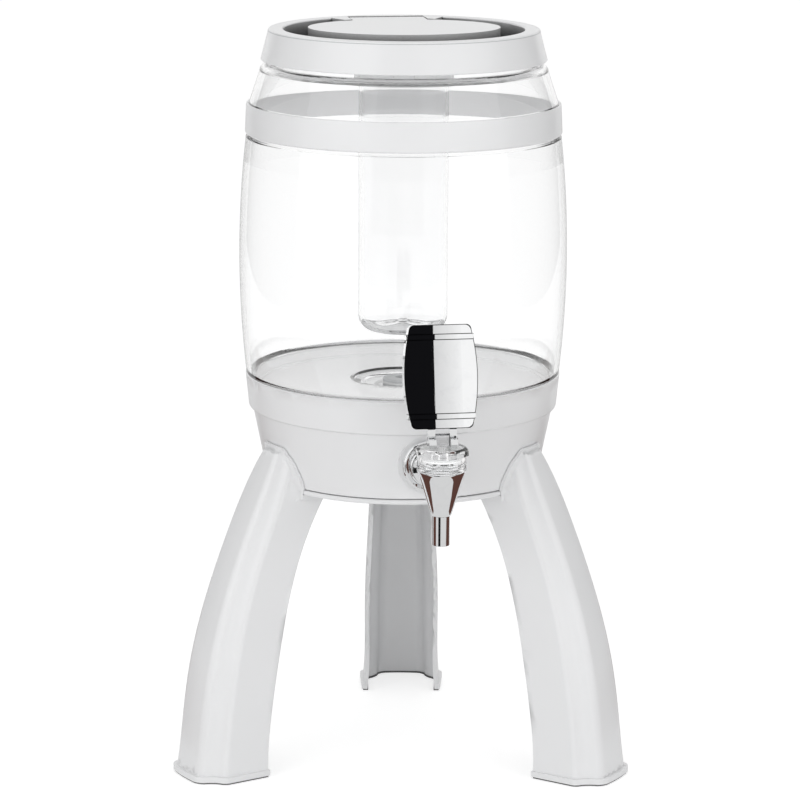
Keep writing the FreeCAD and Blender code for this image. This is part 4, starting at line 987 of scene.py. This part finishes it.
@dataclass
class Barrel:
    """Bowl, hoops, clear barrel and the outlet inside the bowl."""

    shop: Workshop
    foot: float = 232.1
    end: float = 93.5
    bulge: float = 3.95
    wall: float = 2.5
    step: float = 372.8
    hoop_top: float = 392.5
    shoulder: float = 415.4
    neck: float = 78.4
    mouth: float = 427.0
    skirt_tall: float = 10.4
    sump: float = 29.5
    drain: float = 8.3
    facets: int = 240
    crease: float = 5.0
    bowl_edge: float = 0.25
    fitting_edge: float = 0.2
    nut_edge: float = 0.25
    screw_edge: float = 0.15

    def shell_outline(self) -> list[Corner]:
        """Half section of the clear barrel, from its skirt up the outside and down the inside.

        Returns:
            The outline's corners, some with a bulge.
        """
        end, wall, foot, sump = self.end, self.wall, self.foot, self.sump
        skirt, skirt_low, floor = end - 2.9, foot - self.skirt_tall, foot - 0.9
        low, high = end - 2.1, end - 2.2
        bend = self.shoulder - 3.6
        return [
            (skirt, skirt_low), (skirt, foot), (end, foot, self.bulge), (end - 0.3, self.step),
            (low, self.step), (high, self.hoop_top + 0.2), (end - 8.6, bend, 0.8),
            (end - 11.6, self.shoulder), (self.neck, self.shoulder), (self.neck, self.mouth),
            (self.neck - wall, self.mouth), (self.neck - wall, self.shoulder - wall),
            (end - 13.0, self.shoulder - wall, -0.3), (end - 8.5 - wall, bend - 1.1),
            (high - wall, self.hoop_top), (low - wall, self.step + 1.0),
            (end - wall + 1.1, self.step - 14.0, -self.bulge * 0.78),
            (end - wall, foot + 2.2, -0.7),
            (end - wall - 3.0, floor), (sump, floor - 3.6), (sump - 1.0, floor - 5.0),
            (sump - 6.5, floor - 5.6), (sump - 7.2, floor - 6.6), (self.drain, floor - 6.8),
            (self.drain, floor - 9.6), (sump - 4.0, floor - 9.4), (sump + 2.0, floor - 6.6),
            (skirt - wall, floor - 3.4), (skirt - wall, skirt_low)]

    def build(self) -> None:
        """Make the clear barrel and dress the rest."""
        shop = self.shop
        shop.turned("clear_barrel", self.shell_outline(), Body.BARREL, CLEAR, ["barrel_shell"],
                    facets=self.facets, sharp=self.crease)
        shop.smoothed("base_bowl", Body.BARREL, WHITE, self.bowl_edge)
        for node in ("deck_plate", "lower_hoop", "upper_hoop"):
            shop.smoothed(node, Body.BARREL, WHITE)
        shop.smoothed("outlet_fitting", Body.BARREL, GREY, self.fitting_edge)
        shop.smoothed("outlet_gasket", Body.BARREL, SILICONE)
        shop.smoothed("outlet_nut", Body.BARREL, GREY, self.nut_edge)
        shop.smoothed("outlet_hose", Body.BARREL, SILICONE)
        for node in ("hose_clips", "pivot_washer"):
            shop.smoothed(node, Body.BARREL, STEEL)
        shop.smoothed("pivot_screw", Body.BARREL, STEEL, self.screw_edge)


@dataclass
class Lid:
    """Lid ring, hatch, ice tube and their small parts."""

    shop: Workshop
    tube: float = 26.6
    tube_wall: float = 2.0
    tube_low: float = 256.5
    tube_top: float = 417.3
    tube_bead: float = 0.8
    tube_heel: float = 9.0
    tube_crease: float = 7.0
    dome_rise: float = 4.2
    dimple: float = 2.5
    collar: float = 28.9
    grip_low: float = 405.4
    grip: Triple = (0.6, 1.3, 7.4)
    grip_count: int = 14
    rim: float = 79.9
    rim_top: float = 436.1
    rim_round: float = 0.9
    skirt: float = 84.3
    skirt_low: float = 418.3
    # A hair-thin grey band under the rim: the parting line is real, its grey colour is painted shade.
    seam: float = 1.2
    seam_tall: float = 0.42
    seam_proud: float = 0.03
    seam_facets: int = 240
    ring_edge: float = 0.3
    hatch_edge: float = 0.5
    collar_edge: float = 0.2

    def seam_shade_line_outline(self) -> list[Corner]:
        """Half section of the hair-thin parting line that runs round the ring under its rim, in a
        grey that is painted shade.

        Returns:
            The outline's corners.
        """
        slope = (self.skirt - self.rim) / (self.rim_top - self.rim_round - self.skirt_low)
        low, tall = self.rim_top - self.seam, self.seam_tall
        face = self.rim + slope * (self.seam - self.rim_round)
        inner, outer = face - 0.3, face + self.seam_proud
        return [(inner, low), (outer, low), (outer - slope * tall, low + tall), (inner, low + tall)]

    def skirt_outline(self) -> list[Corner]:
        """Half section of the grip skirt that hangs from the collar round the tube's top.

        Returns:
            The outline's corners.
        """
        inner, top = self.tube + 0.4, self.tube_top - 4.5
        return [(inner, self.grip_low), (self.collar - 0.5, self.grip_low),
                (self.collar, self.grip_low + 0.5), (self.collar, top), (inner, top)]

    def tube_outline(self) -> list[Corner]:
        """Half section of the ice tube, from the bottom's centre round the outside.

        Returns:
            The outline's corners, some with a bulge.
        """
        outer, wall, low, top = self.tube, self.tube_wall, self.tube_low, self.tube_top
        bead, heel, dimple = outer + self.tube_bead, low + self.tube_heel, self.dimple
        dome = low + self.dome_rise
        return [
            (0.0, dome), (dimple, dome, 0.9), (15.5, low), (17.6, low, 2.5), (outer, heel),
            (outer, top - 2.0), (bead, top - 2.0), (bead, top), (outer - wall, top),
            (outer - wall, heel + 0.2, -2.0), (17.2, low + wall), (15.9, low + wall, -0.9),
            (dimple, dome + wall), (0.0, dome + wall)]

    def build(self) -> None:
        """Make the ice tube and dress the rest."""
        shop = self.shop
        shop.turned("clear_tube", self.tube_outline(), Body.LID, CLEAR, ["ice_tube"],
                    sharp=self.tube_crease)
        # The lid ring and the hatch take painted shade in their gaps.
        shop.smoothed("lid_ring", Body.LID, LID_WHITE, self.ring_edge)
        shop.smoothed("lid_hatch", Body.HATCH, LID_WHITE, self.hatch_edge)
        shop.smoothed("lid_seal", Body.LID, SILICONE)
        shop.smoothed("hatch_pin", Body.LID, STEEL)
        shop.smoothed("tube_collar", Body.LID, WHITE, self.collar_edge)
        shop.turned("collar_skirt", self.skirt_outline(), Body.LID, WHITE)
        shop.ribs("collar_grip", self.grip, self.collar, self.grip_low, self.grip_count,
                  Body.LID, WHITE)
        # The parting line under the rim, in a grey that is painted shade.
        shop.turned("rim_seam_shade_line", self.seam_shade_line_outline(), Body.LID, GREY, facets=self.seam_facets)


@dataclass
class Tap:
    """Chrome tap with its clear bonnet, handle and valve works."""

    shop: Workshop
    stroke: float = 2.62
    plated_edge: float = 0.12
    handle_edge: float = 0.5
    small_edge: float = 0.15
    nut_edge: float = 0.25
    stem_edge: float = 0.1

    def build(self) -> None:
        """Dress the tap's pieces; the spring rides on the barrel with a mesh of its own."""
        shop = self.shop
        # The plated pieces take painted shade in their corners.
        for node in ("tap_body", "tap_spout", "escutcheon"):
            shop.smoothed(node, Body.BARREL, CHROME, self.plated_edge)
        # The handle's plaque takes painted dark lines of shade.
        shop.smoothed("tap_handle", Body.HANDLE, HANDLE_CHROME, self.handle_edge)
        shop.smoothed("handle_pin", Body.HANDLE, STEEL, self.small_edge)
        shop.smoothed("bonnet", Body.BARREL, CLEAR, self.small_edge)
        for node in ("tap_gasket_outer", "tap_gasket_inner", "bonnet_seal"):
            shop.smoothed(node, Body.BARREL, SILICONE)
        shop.smoothed("tap_nut", Body.BARREL, GREY, self.nut_edge)
        spring = shop.smoothed("valve_spring", Body.BARREL, STEEL)
        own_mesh(spring)
        shop.smoothed("valve_stem", Body.STEM, STEEL, self.stem_edge)
        shop.smoothed("seat_cup", Body.STEM, SILICONE)


# ---------------------------------------------------------------- studio


def panel(low: Triple, high: Triple) -> tuple[Triple, ...]:
    """Corners of a flat or an upright rectangle between two opposite corners.

    Args:
        low: its first corner.
        high: the corner opposite; at the same height the rectangle lies flat.

    Returns:
        The four corners, in order, from the first.
    """
    (left, front, foot), (right, back, top) = low, high
    if foot == top:
        return (low, (right, front, foot), high, (left, back, foot))
    return (low, (right, back, foot), high, (left, front, top))


@dataclass(frozen=True)
class Lamp:
    """A soft box that faces the object; its place and size are in metres, its power in watts."""

    name: str
    place: Triple
    size: tuple[float, float]
    power: float
    glints: bool = True

    def hang(self, aim: Vector) -> bpy.types.Object:
        """Put the lamp in the scene, turned to a point.

        Args:
            aim: the point that it faces, in metres.

        Returns:
            The lamp's object.
        """
        light = bpy.data.lights.new(self.name, "AREA")
        light.shape = "RECTANGLE"
        light.size, light.size_y = self.size
        light.energy = self.power
        lamp = bpy.data.objects.new(self.name, light)
        lamp.location = self.place
        lamp.rotation_euler = (aim - Vector(self.place)).to_track_quat("-Z", "Y").to_euler()
        lamp.visible_camera = False
        lamp.visible_transmission = False
        lamp.visible_glossy = self.glints
        bpy.context.scene.collection.objects.link(lamp)
        return lamp


@dataclass(frozen=True)
class Card:
    """A studio panel that only polished surfaces reflect; it may fade to a second colour."""

    name: str
    corners: tuple[Triple, ...]
    colour: Colour
    fade: Colour | None = None
    far_corners: tuple[int, ...] = (1, 2)

    def stand(self) -> bpy.types.Object:
        """Put the panel in the scene, seen in reflections alone.

        Returns:
            The panel's object.
        """
        mesh = bpy.data.meshes.new(self.name)
        mesh.from_pydata(self.corners, [], [tuple(range(len(self.corners)))])
        card = bpy.data.objects.new(self.name, mesh)
        material, wiring = new_material(self.name)
        shades = mesh.color_attributes.new("shade", "FLOAT_COLOR", "POINT")
        for corner, shade in enumerate(shades.data):
            far = self.fade is not None and corner in self.far_corners
            shade.color = (*(self.fade if far else self.colour), 1.0)
        tone = wiring.add("ShaderNodeAttribute", {"attribute_name": "shade"})
        glow = wiring.add("ShaderNodeEmission", Color=tone.outputs["Color"], Strength=1.0)
        wiring.close("ShaderNodeOutputMaterial", glow)
        mesh.materials.append(material)
        bpy.context.scene.collection.objects.link(card)
        for way in ("camera", "diffuse", "transmission", "volume_scatter", "shadow"):
            setattr(card, f"visible_{way}", False)
        return card


@dataclass
class Studio:
    """Pale floor, white surroundings, soft lamps, reflection panels and the camera.

    Lengths are metres and angles degrees, apart from the lens and its sensor in millimetres.
    """

    aim: Triple = (0.0, 0.0, 0.213)
    distance: float = 2.070
    fall: float = 12.1
    aside: float = -0.00144
    roll: float = 0.27
    lens: float = 155.25
    sensor: float = 36.0
    sight: float = 50.0
    floor_half: float = 6.0
    floor_drop: float = 0.0002
    floor_tone: float = 0.9
    shown_tone: float = 0.6
    shown_lift: float = 0.62
    mirrored_floor: float = 0.7
    sky: float = 0.66
    lamps: tuple[Lamp, ...] = (
        Lamp("key_box", (-1.3, -1.7, 0.9), (1.6, 1.4), 10.8, glints=False),
        Lamp("fill_box", (1.5, -1.4, 0.7), (1.4, 1.2), 6.0, glints=False),
        Lamp("low_box", (0.0, -1.9, 0.25), (1.2, 0.4), 3.2, glints=False),
        Lamp("top_box", (0.0, 0.3, 1.9), (1.6, 1.6), 2.5))
    cards: tuple[Card, ...] = (
        Card("dark_room", panel((-0.427, -1.1, 0.25), (0.262, -1.1, 1.2)), (0.006, 0.006, 0.007)),
        Card("pale_room", panel((0.262, -1.1, 0.1), (0.72, -1.1, 1.2)), (0.72, 0.72, 0.72),
             (0.97, 0.97, 0.97)),
        Card("dark_strip", ((-0.043, -0.628, 0.001), (-0.282, -0.529, 0.001),
                            (-0.800, -1.203, 0.001), (-0.154, -1.470, 0.001)), (0.01, 0.01, 0.01)),
        Card("brown_left", panel((-0.8, -0.35, 0.001), (-0.20, 0.6, 0.001)), (0.105, 0.05, 0.04)),
        Card("brown_right", panel((0.245, -0.35, 0.001), (0.8, 0.6, 0.001)), (0.105, 0.05, 0.04)),
        Card("side_left", panel((-1.3, -0.3, 0.0), (-1.3, 1.6, 0.9)), (0.03, 0.025, 0.022)),
        Card("side_right", panel((1.3, -0.3, 0.0), (1.3, 1.6, 0.9)), (0.03, 0.025, 0.022)))

    def _seen(self, wiring: Wiring) -> bpy.types.NodeSocket:
        """A mask that is 1 for what the camera, polish and clear plastic show.

        Args:
            wiring: the node tree.

        Returns:
            The mask's socket.
        """
        path = wiring.add("ShaderNodeLightPath")
        shown = wiring.maths("ADD", path.outputs["Is Camera Ray"], path.outputs["Is Glossy Ray"],
                             clamp=True)
        return wiring.maths("ADD", shown, path.outputs["Is Transmission Ray"], clamp=True)

    def surroundings(self) -> None:
        """White to the eye, a plain grey level as a source of light."""
        world = bpy.data.worlds.new("studio")
        bpy.context.scene.world = world
        world.use_nodes = True
        wiring = Wiring(world.node_tree)
        level = ranged(wiring, self._seen(wiring), self.sky, 1.0)
        light = wiring.add("ShaderNodeBackground", Color=(1.0, 1.0, 1.0, 1.0), Strength=level)
        wiring.close("ShaderNodeOutputWorld", light)

    def floor(self) -> None:
        """A pale floor that shows white in the open and keeps the object's shadow."""
        half, level = self.floor_half, -self.floor_drop
        mesh = bpy.data.meshes.new("floor")
        mesh.from_pydata(panel((-half, -half, level), (half, half, level)), [], [(0, 1, 2, 3)])
        floor = bpy.data.objects.new("floor", mesh)
        bpy.context.scene.collection.objects.link(floor)
        material, wiring = new_material("pale_floor")

        def matt(tone: float) -> bpy.types.Node:
            """A matt grey of that tone."""
            return wiring.add("ShaderNodeBsdfDiffuse", Color=(tone, tone, tone, 1.0))

        def glow(strength: float) -> bpy.types.Node:
            """A white glow of that strength."""
            return wiring.add("ShaderNodeEmission", Color=(1.0, 1.0, 1.0, 1.0), Strength=strength)

        shown = wiring.joined("ShaderNodeAddShader", matt(self.shown_tone), glow(self.shown_lift))
        mix = wiring.joined("ShaderNodeMixShader", self._seen(wiring), matt(self.floor_tone), shown)
        path = wiring.add("ShaderNodeLightPath")
        bounced = wiring.maths("SUBTRACT", path.outputs["Is Glossy Ray"],
                               path.outputs["Is Transmission Ray"], clamp=True)
        last = wiring.joined("ShaderNodeMixShader", bounced, mix, glow(self.mirrored_floor))
        wiring.close("ShaderNodeOutputMaterial", last)
        mesh.materials.append(material)

    def camera(self) -> None:
        """A long lens a little above the object's level."""
        fall, roll = math.radians(self.fall), math.radians(self.roll)
        back = Vector((0.0, -math.cos(fall), math.sin(fall)))
        level = Vector((1.0, 0.0, 0.0))
        rise = back.cross(level)
        right = level * math.cos(roll) + rise * math.sin(roll)
        up = rise * math.cos(roll) - level * math.sin(roll)
        data = bpy.data.cameras.new("camera")
        data.lens = self.lens
        data.sensor_width = self.sensor
        data.clip_end = self.sight
        camera = bpy.data.objects.new("camera", data)
        place = Vector(self.aim) + back * self.distance + Vector((self.aside, 0.0, 0.0))
        turn = Matrix((right, up, back)).transposed().to_4x4()
        camera.matrix_world = Matrix.Translation(place) @ turn
        bpy.context.scene.collection.objects.link(camera)
        bpy.context.scene.camera = camera

    def build(self) -> None:
        """Set up the whole studio."""
        self.camera()
        self.surroundings()
        self.floor()
        for lamp in self.lamps:
            lamp.hang(Vector(self.aim))
        for card in self.cards:
            card.stand()
        bpy.context.scene.view_settings.view_transform = "Standard"


def main() -> None:
    """Build the studio and the object, logging each part's name and each piece's face count."""
    logging.basicConfig(level=logging.INFO, format="%(name)s: %(message)s")
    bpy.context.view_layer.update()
    Studio().build()
    shop = Workshop()
    for part in (Stand(shop), Barrel(shop), Lid(shop), Tap(shop)):
        LOG.info("%s", type(part).__name__)
        part.build()


if __name__ == "__main__":
    main()
